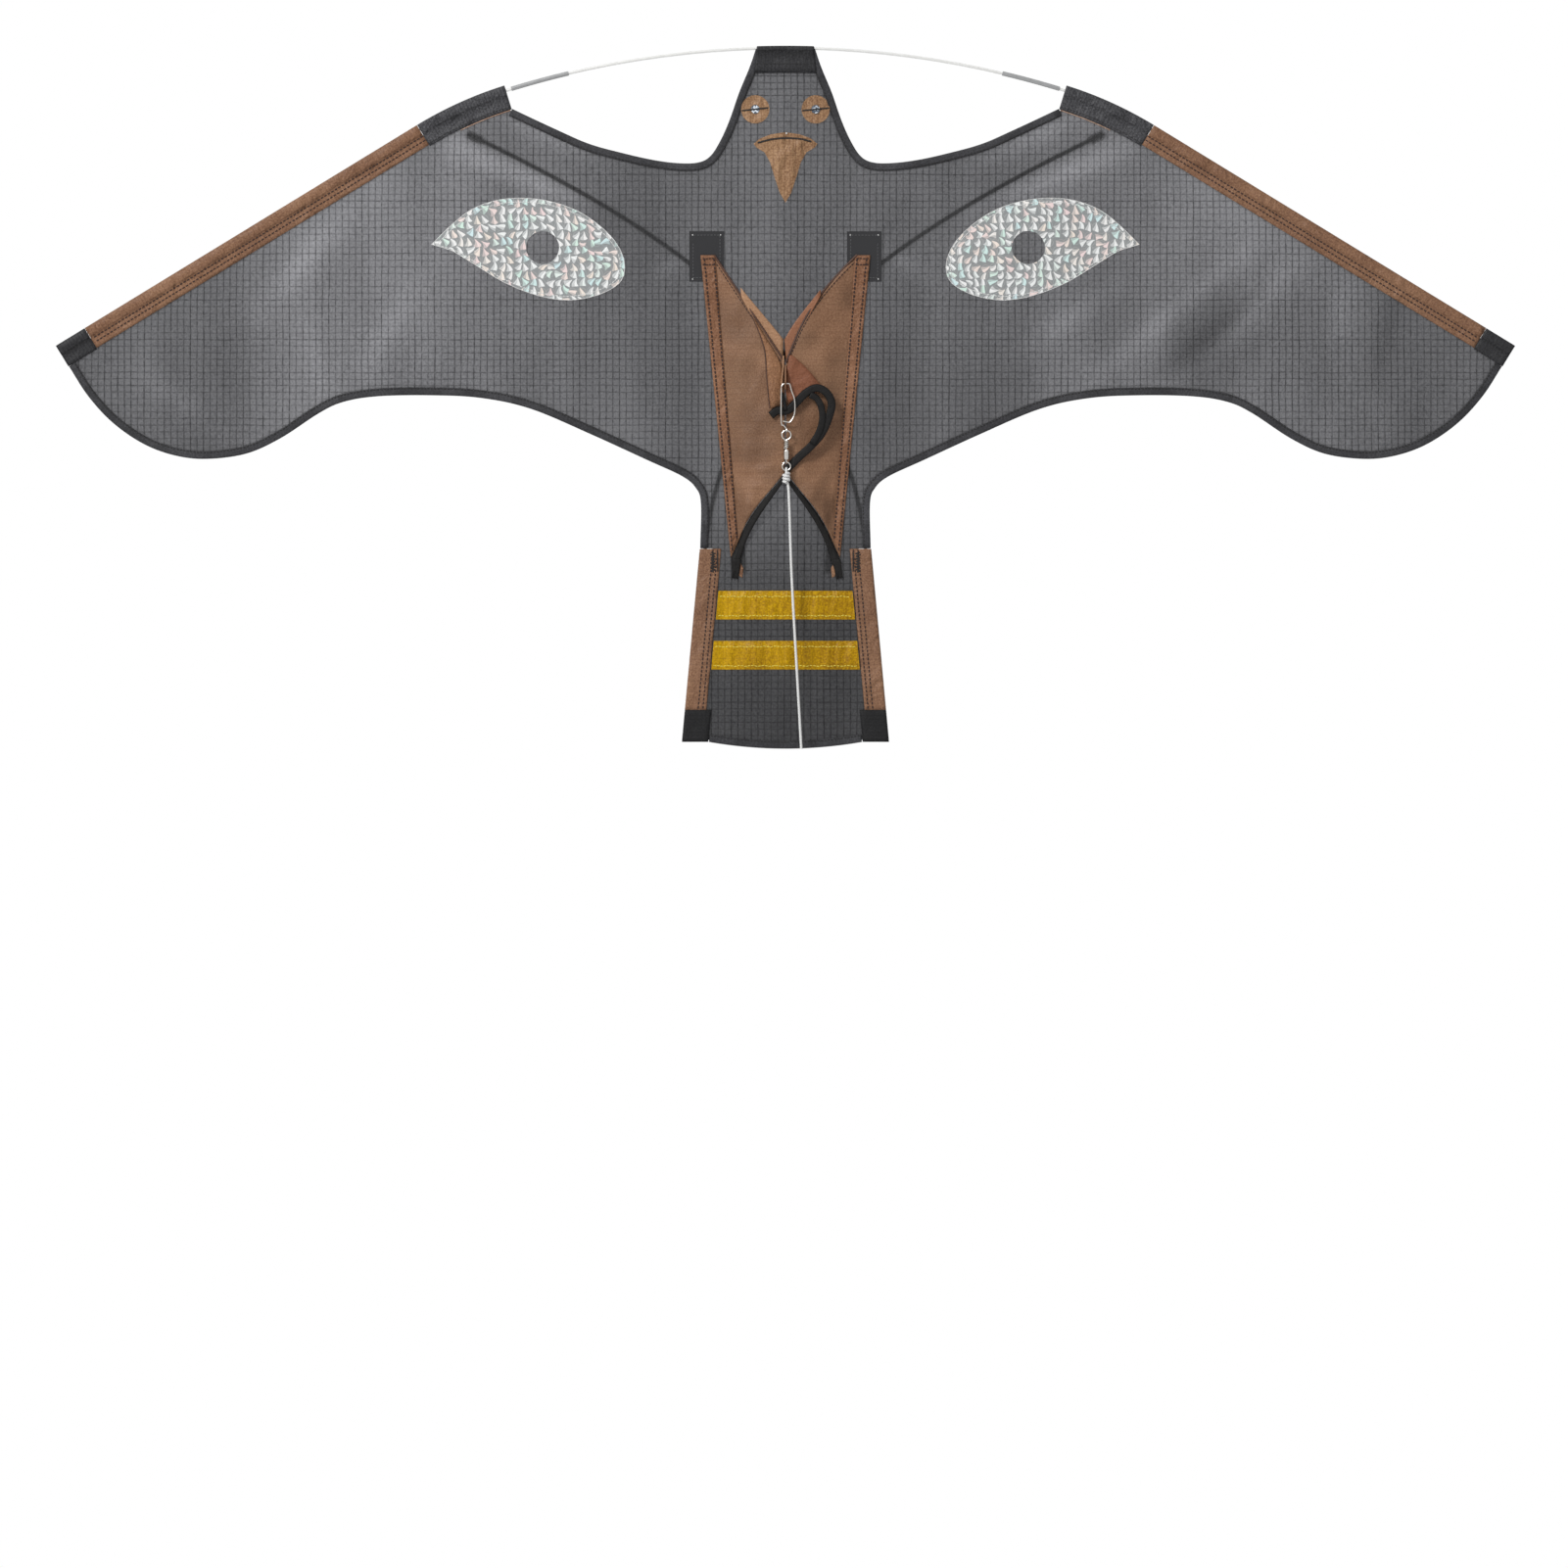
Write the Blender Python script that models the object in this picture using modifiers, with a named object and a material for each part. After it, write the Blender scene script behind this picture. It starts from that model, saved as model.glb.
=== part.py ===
"""Bird scarer kite in the shape of a gliding hawk, as it hangs by its head from a peg.

Metres, +Z up. The front, with the keel and the line, faces -Y. X runs across the wings.
The origin is on the axis of the leading spar, in the pocket over the head.
"""

import math

import bmesh
import bpy
from mathutils import Matrix, Vector

# Leading spar: a shallow bow over the head, a shoulder bend, then straight to the wing tip
HALF_SPAN = 0.650
TIP_DROP = 0.270
BOW_HALF = 0.250
BOW_RISE = 0.038
SHOULDER_R = 0.344
SPAR_R = 0.00125
FERRULE_START = 0.194
FERRULE_LENGTH = 0.053
FERRULE_WALL = 0.00045

# Cloth and clearances
SAIL_T = 0.0006
CLOTH_T = 0.0005
FILM_T = 0.0004
GAP = 0.0003
LAY = SAIL_T / 2 + GAP + CLOTH_T / 2
EDGE_SETBACK = 0.0012
BINDING_W = 0.0055

# Sleeves along the leading edge, from the head outwards
TUBE_W = 0.0090
SLEEVE_W = 0.0205
SHOULDER_W = 0.0220
TIP_POCKET_LENGTH = 0.0300
TIP_POCKET_W = 0.0215
ROD_END_GAP = 0.0020
SAIL_TUCK = 0.0015

# Head
HEAD_HALF = 0.0254
HEAD_POCKET_W = 0.0240
HEAD_EYE_X = 0.0270
HEAD_EYE_Z = -0.0550
HEAD_EYE_R = 0.0127
HEAD_EYE_HOLE_R = 0.0041
SEQUIN_R = 0.0037
SEQUIN_T = 0.0005
BEAK_TOP_Z = -0.0755
BEAK_HALF = 0.0285
BEAK_LENGTH = 0.0630

# Tail
TAIL_TOP_Z = -0.4480
TAIL_TOP_HALF = 0.0765
TAIL_FOOT_Z = -0.6205
HEM_DROP = 0.0060
TAIL_FOOT_HALF = 0.0925
TAIL_TUBE_W = 0.0095
TAIL_SLEEVE_W = 0.0190
TAIL_POCKET_LENGTH = 0.0285
TAIL_POCKET_W = 0.0235
BAND_H = 0.0257
BAND_TOP_Z = -0.4855
BAND_PITCH = 0.0448
BAND_CLEAR = 0.0010

# Crossed rods behind the sail
ROD_R = 0.0015
ROD_TOP_X = 0.2830
ROD_TOP_Z = -0.0775
ROD_TOP_SLOPE = math.radians(25.5)
ROD_TOP_PULL = 0.190
ROD_FOOT_PULL = 0.185
ROD_TOP_Y = 0.0039
ROD_FOOT_Y = 0.0030
ROD_DIP_POWER = 4
ROD_HUMP_SHARE = 0.10
CAP_LENGTH = 0.0110
CAP_WALL = 0.0006
CAP_FLOOR = 0.0015
TAB_LENGTH = 0.0150
TAB_FLANGE = 0.0050

# Wing eyes
EYE_W = 0.1735
EYE_H = 0.0918
EYE_X = 0.2300
EYE_Z = -0.1800
PUPIL_R = 0.0148
PUPIL_X = 0.2172
PUPIL_Z = -0.1786

# Keel of two limp panels, sewn to the sail along the seams and joined at the ridge
KEEL_TOP_HALF = 0.0760
KEEL_TOP_Z = -0.1855
KEEL_TOP_FLAT = 0.0120
KEEL_FOOT_HALF = 0.0470
KEEL_FOOT_Z = -0.4740
VEE_Z = -0.2760
ARCH_Z = -0.3790
RIDGE_HALF = 0.0006
KEEL_SEAM_SHARE = 0.16
KEEL_DEPTH = 0.0100
ARCH_DEPTH_SHARE = 0.72
PATCH_DROP_SHARE = 0.20
KEEL_BINDING_T = 0.0014
PATCH_W = 0.0310
PATCH_H = 0.0450
PATCH_OUTER_X = 0.0860
PATCH_TOP_Z = -0.1640
NOSE_TAB_T = 0.0014
NOSE_TAB_TOP_Z = -0.2840
NOSE_TAB_FOOT_Z = -0.3060
NOSE_TAB_LIP = 0.0030
NOSE_HOLE_R = 0.0021

# Snap, swivel and line
LINE_Y = -0.0180
LINE_X = 0.0008
SNAP_R = 0.0006
SNAP_TOP_Z = -0.3010
SNAP_FOOT_Z = -0.3351
SNAP_BEND = 0.0022
SNAP_LEG_X = -0.0038
SNAP_BOW_X = 0.0081
BOW_TOP_Z = -0.3154
BOW_LOW_Z = -0.3276
SNAP_EYE_R = 0.0016
RING_WIRE_R = 0.0006
TOP_RING_R = 0.0041
TOP_RING_Z = -0.3469
LOW_RING_R = 0.0037
LOW_RING_Z = -0.3749
CORE_SINK = 0.0022
WRAPS = 4
WIND_GAP = 0.00045
BARREL_R = 0.00235
BARREL_NECK_R = 0.0019
BARREL_TOP_Z = -0.3602
BARREL_LENGTH = 0.0084
BARREL_ROUND = 0.0012
LINE_R = 0.00115
LINE_TURN_X = 0.0030
LINE_TURN_Z = -0.3960
LINE_END_X = 0.0142
LINE_END_Z = -0.6270
LINE_SAG = 0.0012
KNOT_TURNS = 3

# The limp nose of the keel, traced in pixels of the photograph
PIXEL = 0.000876
MIDDLE_PIXEL = 802
SPAR_PIXEL = 49
NOSE_BAND_PIXELS = (
    (804, 470),
    (818, 461),
    (833, 446),
    (842, 424),
    (846, 411),
    (841, 402),
    (832, 399),
    (822, 403),
    (812, 413),
    (801, 420),
    (788, 421),
)
NOSE_FLAP_PIXELS = (
    (784, 343),
    (792, 355),
    (801, 369),
    (807, 359),
    (813, 352),
    (822, 371),
    (833, 393),
    (822, 398),
    (812, 408),
    (801, 416),
    (787, 417),
    (784, 385),
)

# Outlines as shares of the sizes that carry them
NECK_SHARES = (
    (0.1315, -0.168),
    (0.1700, -0.386),
    (0.2050, -0.622),
    (0.2400, -0.806),
    (0.2780, -0.940),
    (0.3240, -0.993),
    (0.3950, -0.998),
    (0.4850, -0.972),
    (0.5950, -0.915),
    (0.7200, -0.835),
    (0.8300, -0.725),
)
NECK_WIDTH = 0.2425
NECK_DEPTH = 0.1035
TRAIL_SHARES = (
    (0.9590, -0.6950),
    (0.9250, -0.7482),
    (0.8830, -0.7901),
    (0.8400, -0.8132),
    (0.7960, -0.8200),
    (0.7420, -0.8097),
    (0.6950, -0.7789),
    (0.6420, -0.7286),
    (0.6080, -0.7062),
    (0.5600, -0.6950),
    (0.4880, -0.6929),
    (0.4180, -0.6985),
    (0.3500, -0.7202),
    (0.2680, -0.7705),
    (0.1900, -0.8223),
    (0.1420, -0.8544),
    (0.1230, -0.8782),
    (0.1160, -0.9090),
)
EYE_SHARES = (
    (0.500, 0.045),
    (0.410, 0.215),
    (0.300, 0.380),
    (0.170, 0.475),
    (0.030, 0.500),
    (-0.120, 0.465),
    (-0.270, 0.360),
    (-0.400, 0.180),
    (-0.475, 0.000),
    (-0.500, -0.180),
    (-0.470, -0.335),
    (-0.360, -0.450),
    (-0.210, -0.500),
    (-0.050, -0.455),
    (0.120, -0.330),
    (0.270, -0.160),
    (0.390, -0.020),
)
BEAK_SHARES = (
    (0.00, 0.000),
    (0.45, -0.030),
    (0.80, -0.090),
    (1.00, -0.165),
    (0.92, -0.215),
    (0.66, -0.285),
    (0.48, -0.430),
    (0.34, -0.640),
    (0.18, -0.860),
    (0.00, -1.000),
)
ARCH_SHARES = (
    (0.00, 0.000),
    (0.33, 0.130),
    (0.62, 0.330),
    (0.80, 0.540),
    (0.92, 0.760),
    (1.00, 1.000),
)
# Colours from the photograph: red, green, blue, roughness, metallic
GREY_RIPSTOP = (0.140, 0.140, 0.145, 0.75, 0.0)
BLACK_TAPE = (0.030, 0.031, 0.033, 0.80, 0.0)
BROWN_CLOTH = (0.235, 0.120, 0.070, 0.75, 0.0)
TAN_CLOTH = (0.330, 0.180, 0.100, 0.75, 0.0)
YELLOW_CLOTH = (0.550, 0.370, 0.010, 0.65, 0.0)
SILVER_FILM = (0.700, 0.720, 0.720, 0.25, 0.8)
WHITE_ROD = (0.850, 0.850, 0.840, 0.35, 0.0)
GREY_TUBE = (0.250, 0.250, 0.250, 0.40, 0.0)
BLACK_PLASTIC = (0.020, 0.020, 0.020, 0.45, 0.0)
NICKEL_WIRE = (0.650, 0.640, 0.620, 0.25, 1.0)
WHITE_LINE = (0.880, 0.880, 0.870, 0.80, 0.0)

SIDES = (("right", 1), ("left", -1))

for old in list(bpy.data.objects):
    bpy.data.objects.remove(old, do_unlink=True)

KITE = bpy.data.collections.new("bird_scarer_kite")
bpy.context.scene.collection.children.link(KITE)
CUTTERS = bpy.data.collections.new("kite_cutters")
bpy.context.scene.collection.children.link(CUTTERS)


def material(name, finish):
    """A Principled material for one piece."""
    made = bpy.data.materials.new(name)
    made.use_nodes = True
    shader = made.node_tree.nodes["Principled BSDF"]
    shader.inputs["Base Color"].default_value = (*finish[:3], 1.0)
    shader.inputs["Roughness"].default_value = finish[3]
    shader.inputs["Metallic"].default_value = finish[4]
    return made


def add_piece(name, data, finish, smooth=False):
    """Links data to the kite as a piece of its own, with its own material."""
    piece = bpy.data.objects.new(name, data)
    data.materials.append(material(name, finish))
    KITE.objects.link(piece)
    if smooth:
        data.shade_smooth()
        data.set_sharp_from_angle(angle=math.radians(40))
    return piece


def smooth_path(points, steps):
    """A Catmull-Rom curve through the points, with steps parts between each two."""
    ends = [2 * Vector(points[0]) - Vector(points[1]), 2 * Vector(points[-1]) - Vector(points[-2])]
    knots = [ends[0], *[Vector(p) for p in points], ends[1]]
    path = []
    for i in range(1, len(knots) - 2):
        a, b, c, d = knots[i - 1 : i + 3]
        for step in range(steps):
            t = step / steps
            curve = 2 * b + (c - a) * t + (2 * a - 5 * b + 4 * c - d) * t**2
            path.append((curve + (3 * b - a - 3 * c + d) * t**3) / 2)
    path.append(knots[-2])
    return path


def normals(path, turn):
    """The in-plane normals along a path in X and Z, on its right for turn 1 or its left for -1."""
    found = []
    for i in range(len(path)):
        ahead = (path[min(i + 1, len(path) - 1)] - path[max(i - 1, 0)]).normalized()
        found.append(Vector((ahead.y, -ahead.x)) * turn)
    return found


def setback(path, turn, distance):
    """The path moved sideways by a distance."""
    return [point + normal * distance for point, normal in zip(path, normals(path, turn))]


def mirrored(points):
    """The points on the other wing."""
    return [Vector((-point.x, *point[1:])) for point in points]


def side_of(points, sign):
    """The points as they are for the right side, or mirrored for the left."""
    return list(points) if sign > 0 else mirrored(points)


def flat_piece(name, loops, back_y, thickness, finish):
    """A flat outline with holes, cut from sheet. Its back lies at back_y and it faces -Y."""
    curve = bpy.data.curves.new(name, "CURVE")
    curve.dimensions = "2D"
    curve.fill_mode = "BOTH"
    curve.extrude = thickness / 2
    for loop in loops:
        spline = curve.splines.new("POLY")
        spline.points.add(len(loop) - 1)
        spline.use_cyclic_u = True
        for point, place in zip(spline.points, loop):
            point.co = (place[0], place[1], 0, 1)
    piece = add_piece(name, curve, finish)
    piece.location.y = back_y - thickness / 2
    piece.rotation_euler.x = math.pi / 2
    return piece


def sewn_surface(name, rows, thickness, finish, closed_end=False):
    """Cloth as an open surface through rows of points, given its thickness by Solidify."""
    bm = bmesh.new()
    first = [bm.verts.new(point) for point in rows[0]]
    last = first
    for row in rows[1:]:
        new = [bm.verts.new(point) for point in row]
        for i in range(len(row) - 1):
            bm.faces.new((last[i], last[i + 1], new[i + 1], new[i]))
        last = new
    if closed_end:
        bm.faces.new(last)
    bmesh.ops.remove_doubles(bm, verts=bm.verts, dist=GAP / 10)
    bmesh.ops.recalc_face_normals(bm, faces=bm.faces)
    mesh = bpy.data.meshes.new(name)
    bm.to_mesh(mesh)
    bm.free()
    piece = add_piece(name, mesh, finish, smooth=True)
    wall = piece.modifiers.new("cloth", "SOLIDIFY")
    wall.thickness = thickness
    wall.offset = 0
    wall.use_even_offset = True
    return piece


def folded(name, stations, profile, finish, closed_end=False, thickness=CLOTH_T):
    """A strip of cloth folded to a profile and sewn along a path.

    A station is a place on the fold, the direction inwards from it, and its depth in Y.
    A profile point is its distance inwards and its depth.
    """
    rows = []
    for place, inward, depth in stations:
        rows.append([(place.x + inward.x * u, depth + y, place.y + inward.y * u) for u, y in profile])
    return sewn_surface(name, rows, thickness, finish, closed_end)


def tube_profile(width, tube_w, rod_r, rod_y=0.0):
    """A strip folded round a rod: both flanges lie on the sail, and the fold holds the rod."""
    swell = rod_y + rod_r + GAP + CLOTH_T / 2
    front = -LAY if rod_y else -swell
    back = [(width, LAY)]
    for degrees in (0, 30, 60, 90):
        angle = math.radians(degrees)
        back.append((tube_w / 2 * (1 + math.cos(angle)), LAY + (swell - LAY) * math.sin(angle)))
    for degrees in (120, 150):
        angle = math.radians(degrees)
        back.append((tube_w / 2 * (1 + math.cos(angle)), rod_y / 2 + (swell - rod_y / 2) * math.sin(angle)))
    outer = [(0.0, rod_y / 2)]
    if rod_y:
        return back + outer + [(CLOTH_T, front), (width, front)]
    return back + outer + [(u, -y) for u, y in reversed(back)]


def binding_profile():
    """Bias tape folded over the edge of the sail."""
    return [
        (BINDING_W, LAY),
        (CLOTH_T, LAY),
        (0.0, 0.0),
        (CLOTH_T, -LAY),
        (BINDING_W, -LAY),
    ]


def wire(name, points, radius, finish, resolution=2, closed=False):
    """A round rod, wire or cord along points, with closed ends."""
    curve = bpy.data.curves.new(name, "CURVE")
    curve.dimensions = "3D"
    curve.bevel_depth = radius
    curve.bevel_resolution = resolution
    curve.use_fill_caps = not closed
    spline = curve.splines.new("POLY")
    spline.points.add(len(points) - 1)
    spline.use_cyclic_u = closed
    for point, place in zip(spline.points, points):
        point.co = (*place, 1)
    return add_piece(name, curve, finish)


def turned(name, profile, place, axis, finish, steps):
    """A turned shape. The profile of radius and height is listed from the top to the foot."""
    bm = bmesh.new()
    points = [bm.verts.new((radius, 0, height)) for radius, height in profile]
    for a, b in zip(points, points[1:]):
        bm.edges.new((a, b))
    mesh = bpy.data.meshes.new(name)
    bm.to_mesh(mesh)
    bm.free()
    piece = add_piece(name, mesh, finish)
    piece.location = place
    piece.rotation_euler = Vector(axis).to_track_quat("Z", "Y").to_euler()
    screw = piece.modifiers.new("turn", "SCREW")
    screw.steps = steps
    screw.render_steps = steps
    screw.use_merge_vertices = True
    screw.merge_threshold = 0.00001
    return piece


def ring(name, centre, radius, wire_r, axis, finish):
    """A closed ring of round wire."""
    bpy.ops.mesh.primitive_torus_add(
        major_segments=20,
        minor_segments=8,
        major_radius=radius,
        minor_radius=wire_r,
        location=centre,
        rotation=Vector(axis).to_track_quat("Z", "Y").to_euler(),
    )
    piece = bpy.context.object
    piece.name = name
    piece.data.name = name
    piece.data.materials.append(material(name, finish))
    for owner in list(piece.users_collection):
        owner.objects.unlink(piece)
    KITE.objects.link(piece)
    return piece


# Leading spar
BOW_R = (BOW_HALF**2 + BOW_RISE**2) / (2 * BOW_RISE)
BOW_ANGLE = math.asin(BOW_HALF / BOW_R)
BOW_LENGTH = BOW_R * BOW_ANGLE


def shoulder_end(angle):
    """Where the shoulder bend ends once the spar slopes down by an angle."""
    x = BOW_HALF + SHOULDER_R * (math.sin(angle) - math.sin(BOW_ANGLE))
    z = -BOW_RISE - SHOULDER_R * (math.cos(BOW_ANGLE) - math.cos(angle))
    return Vector((x, z))


def wing_angle():
    """The slope at which the straight part of the spar reaches the wing tip."""
    low, high = BOW_ANGLE, math.radians(80)
    for _ in range(60):
        middle = (low + high) / 2
        start = shoulder_end(middle)
        reached = start.y - (HALF_SPAN - start.x) * math.tan(middle)
        if reached > -TIP_DROP:
            low = middle
        else:
            high = middle
    return low


WING_ANGLE = wing_angle()
BEND_LENGTH = SHOULDER_R * (WING_ANGLE - BOW_ANGLE)
WING_START = shoulder_end(WING_ANGLE)
SPAR_LENGTH = BOW_LENGTH + BEND_LENGTH + (HALF_SPAN - WING_START.x) / math.cos(WING_ANGLE)


def spar_at(distance):
    """The place on the spar's axis and its slope, at a distance from the head along it."""
    if distance <= BOW_LENGTH:
        angle = distance / BOW_R
        return Vector((BOW_R * math.sin(angle), BOW_R * (math.cos(angle) - 1))), angle
    if distance <= BOW_LENGTH + BEND_LENGTH:
        angle = BOW_ANGLE + (distance - BOW_LENGTH) / SHOULDER_R
        return shoulder_end(angle), angle
    along = distance - BOW_LENGTH - BEND_LENGTH
    ahead = Vector((math.cos(WING_ANGLE), -math.sin(WING_ANGLE)))
    return WING_START + ahead * along, WING_ANGLE


def spar_offset(distance, inwards):
    """A place beside the spar, towards the sail."""
    place, angle = spar_at(distance)
    return place - Vector((math.sin(angle), math.cos(angle))) * inwards


def spar_points(start, end, parts):
    """Points along the spar's axis."""
    stretch = [start + (end - start) * i / parts for i in range(parts + 1)]
    return [(spar_at(abs(d))[0].x * (1 if d >= 0 else -1), 0, spar_at(abs(d))[0].y) for d in stretch]


def spar_stations(start, end, parts, sign):
    """Stations on the outer fold of a sleeve on the spar."""
    found = []
    for i in range(parts + 1):
        distance = start + (end - start) * i / parts
        angle = spar_at(distance)[1]
        place = spar_offset(distance, -TUBE_W / 2)
        inward = Vector((-math.sin(angle) * sign, -math.cos(angle)))
        found.append((Vector((place.x * sign, place.y)), inward, 0.0))
    return found


def spar_distance(x):
    """How far along the spar a place over x in the bow lies."""
    return BOW_R * math.asin(x / BOW_R)


JOINT_AT = spar_distance(FERRULE_START) + FERRULE_LENGTH / 2
SHOULDER_AT = BOW_LENGTH
SLEEVE_AT = SHOULDER_AT + BEND_LENGTH
TIP_AT = SPAR_LENGTH - TIP_POCKET_LENGTH


def make_spar():
    """Three fibreglass rods, joined end to end in two ferrules."""
    wire("spar_centre", spar_points(-JOINT_AT + GAP / 2, JOINT_AT - GAP / 2, 20), SPAR_R, WHITE_ROD)
    for side, sign in SIDES:
        rod = spar_points(JOINT_AT + GAP / 2, SPAR_LENGTH - ROD_END_GAP, 14)
        wire(f"spar_{side}", side_of([Vector(p) for p in rod], sign), SPAR_R, WHITE_ROD)
        half = FERRULE_LENGTH / 2
        sleeve = side_of([Vector(p) for p in spar_points(JOINT_AT - half, JOINT_AT + half, 5)], sign)
        ferrule = wire(f"ferrule_{side}", sleeve, SPAR_R + GAP, GREY_TUBE)
        ferrule.data.use_fill_caps = False
        wall = ferrule.modifiers.new("wall", "SOLIDIFY")
        wall.thickness = FERRULE_WALL
        wall.offset = 1


def make_leading_edge():
    """Black shoulder sleeve, brown sleeve and black tip pocket on each wing."""
    for side, sign in SIDES:
        shoulder = spar_stations(SHOULDER_AT, SLEEVE_AT - GAP / 2, 6, sign)
        folded(f"shoulder_sleeve_{side}", shoulder, tube_profile(SHOULDER_W, TUBE_W, SPAR_R), BLACK_TAPE)
        sleeve = spar_stations(SLEEVE_AT + GAP / 2, TIP_AT - GAP / 2, 1, sign)
        folded(f"leading_sleeve_{side}", sleeve, tube_profile(SLEEVE_W, TUBE_W, SPAR_R), BROWN_CLOTH)
        tip = spar_stations(TIP_AT + GAP / 2, SPAR_LENGTH, 1, sign)
        profile = tube_profile(TIP_POCKET_W, TUBE_W, SPAR_R)
        folded(f"tip_pocket_{side}", tip, profile, BLACK_TAPE, closed_end=True)


def make_head_pocket():
    """The black pocket that hangs the head on the spar."""
    fold_w = 2 * (SPAR_R + GAP + CLOTH_T / 2)
    stations = []
    for share in (-1.0, -0.5, 0.0, 0.5, 1.0):
        distance = spar_distance(HEAD_HALF * abs(share))
        place = spar_offset(distance, -fold_w / 2)
        place.x = math.copysign(place.x, share)
        stations.append((place, Vector((0, -1)), 0.0))
    folded("head_pocket", stations, tube_profile(HEAD_POCKET_W, fold_w, SPAR_R), BLACK_TAPE)


# Edges of the sail
def neck_edge():
    """The right edge of the neck, from the head pocket to the shoulder sleeve."""
    corner = spar_offset(SHOULDER_AT - GAP, SHOULDER_W - TUBE_W / 2)
    points = [Vector((x * NECK_WIDTH, z * NECK_DEPTH)) for x, z in NECK_SHARES]
    return smooth_path([*points, corner], 3)


def tail_line(inwards, z):
    """A point beside the outer edge of the right tail sleeve, at a height."""
    share = (TAIL_TOP_Z - z) / (TAIL_TOP_Z - TAIL_FOOT_Z)
    return Vector((TAIL_TOP_HALF + (TAIL_FOOT_HALF - TAIL_TOP_HALF) * share - inwards, z))


def trailing_edge():
    """The right trailing edge, from the tip pocket to the tail sleeve."""
    start = spar_offset(SPAR_LENGTH - CLOTH_T, TIP_POCKET_W - TUBE_W / 2 + GAP)
    end = tail_line(CLOTH_T, TAIL_TOP_Z + GAP + CLOTH_T / 2)
    points = [Vector((x * HALF_SPAN, -z * TAIL_TOP_Z)) for x, z in TRAIL_SHARES]
    return smooth_path([start, *points, end], 2)


def hem_half():
    """Half the length of the hem between the two tail pockets."""
    return tail_line(TAIL_POCKET_W + GAP + CLOTH_T / 2, TAIL_FOOT_Z).x


def hem_edge(parts):
    """The curved hem of the tail, from its middle to the right pocket."""
    half = hem_half()
    foot = TAIL_FOOT_Z - HEM_DROP
    return [Vector((half * i / parts, foot + HEM_DROP * (i / parts) ** 2)) for i in range(parts + 1)]


def sail_half():
    """The right half of the sail's outline, from the head to the hem."""
    tuck = TUBE_W / 2 + SAIL_TUCK
    pocket_w = 2 * (SPAR_R + GAP + CLOTH_T / 2)
    top_z = -pocket_w / 2 - SAIL_TUCK
    head = [Vector((0, top_z)), Vector((HEAD_HALF - EDGE_SETBACK, top_z))]
    neck = setback(neck_edge(), 1, EDGE_SETBACK)
    leading = [spar_offset(SHOULDER_AT + EDGE_SETBACK, SHOULDER_W - TUBE_W / 2 + EDGE_SETBACK)]
    parts = 6
    for i in range(parts + 1):
        leading.append(spar_offset(SHOULDER_AT + EDGE_SETBACK + BEND_LENGTH * i / parts, tuck))
    leading.append(spar_offset(SPAR_LENGTH - ROD_END_GAP, tuck))
    leading.append(spar_offset(SPAR_LENGTH - ROD_END_GAP, TIP_POCKET_W - TUBE_W / 2))
    trailing = setback(trailing_edge(), 1, EDGE_SETBACK)
    tail_tuck = TAIL_TUBE_W + SAIL_TUCK
    tail = [tail_line(tail_tuck, TAIL_TOP_Z), tail_line(tail_tuck, TAIL_FOOT_Z + ROD_END_GAP)]
    tail.append(tail_line(TAIL_POCKET_W, TAIL_FOOT_Z + ROD_END_GAP))
    hem = setback(hem_edge(4), -1, EDGE_SETBACK)
    return head + neck[1:-1] + leading + trailing[1:-1] + tail + list(reversed(hem))


def make_sail():
    """One piece of grey ripstop, cut to the hawk's outline."""
    right = sail_half()
    left = [Vector((-p.x, p.y)) for p in reversed(right) if p.x > GAP]
    flat_piece("sail", [right + left], SAIL_T / 2, SAIL_T, GREY_RIPSTOP)


def edge_stations(path, turn, sign, depth=0.0):
    """Stations along an edge, with the sail on the side that turn says."""
    found = []
    for place, inward in zip(path, normals(path, turn)):
        found.append((Vector((place.x * sign, place.y)), Vector((inward.x * sign, inward.y)), depth))
    return found


def make_bindings():
    """Black bias tape round every free edge of the sail."""
    neck = neck_edge()
    for side, sign in SIDES:
        folded(f"neck_binding_{side}", edge_stations(neck, 1, sign), binding_profile(), BLACK_TAPE)
        trailing = edge_stations(trailing_edge(), 1, sign)
        folded(f"trailing_binding_{side}", trailing, binding_profile(), BLACK_TAPE)
    right = hem_edge(5)
    hem = [Vector((-p.x, p.y)) for p in reversed(right[1:])] + right
    folded("tail_hem", edge_stations(hem, -1, 1), binding_profile(), BLACK_TAPE)


# Tail
def tail_stations(start_z, end_z, sign):
    """Stations down the outer fold of a tail sleeve."""
    found = []
    for z in (start_z, end_z):
        place = tail_line(0, z)
        found.append((Vector((place.x * sign, place.y)), Vector((-sign, 0)), 0.0))
    return found


def make_tail():
    """Brown sleeve and black foot pocket for each crossed rod, and two yellow bands."""
    sleeve_foot = TAIL_FOOT_Z + TAIL_POCKET_LENGTH
    for side, sign in SIDES:
        sleeve = tail_stations(TAIL_TOP_Z, sleeve_foot + GAP / 2, sign)
        profile = tube_profile(TAIL_SLEEVE_W, TAIL_TUBE_W, ROD_R, ROD_FOOT_Y)
        folded(f"tail_sleeve_{side}", sleeve, profile, BROWN_CLOTH)
        pocket = tail_stations(sleeve_foot - GAP / 2, TAIL_FOOT_Z, sign)
        profile = tube_profile(TAIL_POCKET_W, TAIL_TUBE_W, ROD_R, ROD_FOOT_Y)
        folded(f"tail_pocket_{side}", pocket, profile, BLACK_TAPE, closed_end=True)
    for i, name in enumerate(("tail_band_upper", "tail_band_lower")):
        top = BAND_TOP_Z - BAND_PITCH * i
        inset = TAIL_SLEEVE_W + BAND_CLEAR
        right = [tail_line(inset, top), tail_line(inset, top - BAND_H)]
        left = [Vector((-p.x, p.y)) for p in reversed(right)]
        flat_piece(name, [right + left], -SAIL_T / 2 - GAP, FILM_T, YELLOW_CLOTH)


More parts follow.
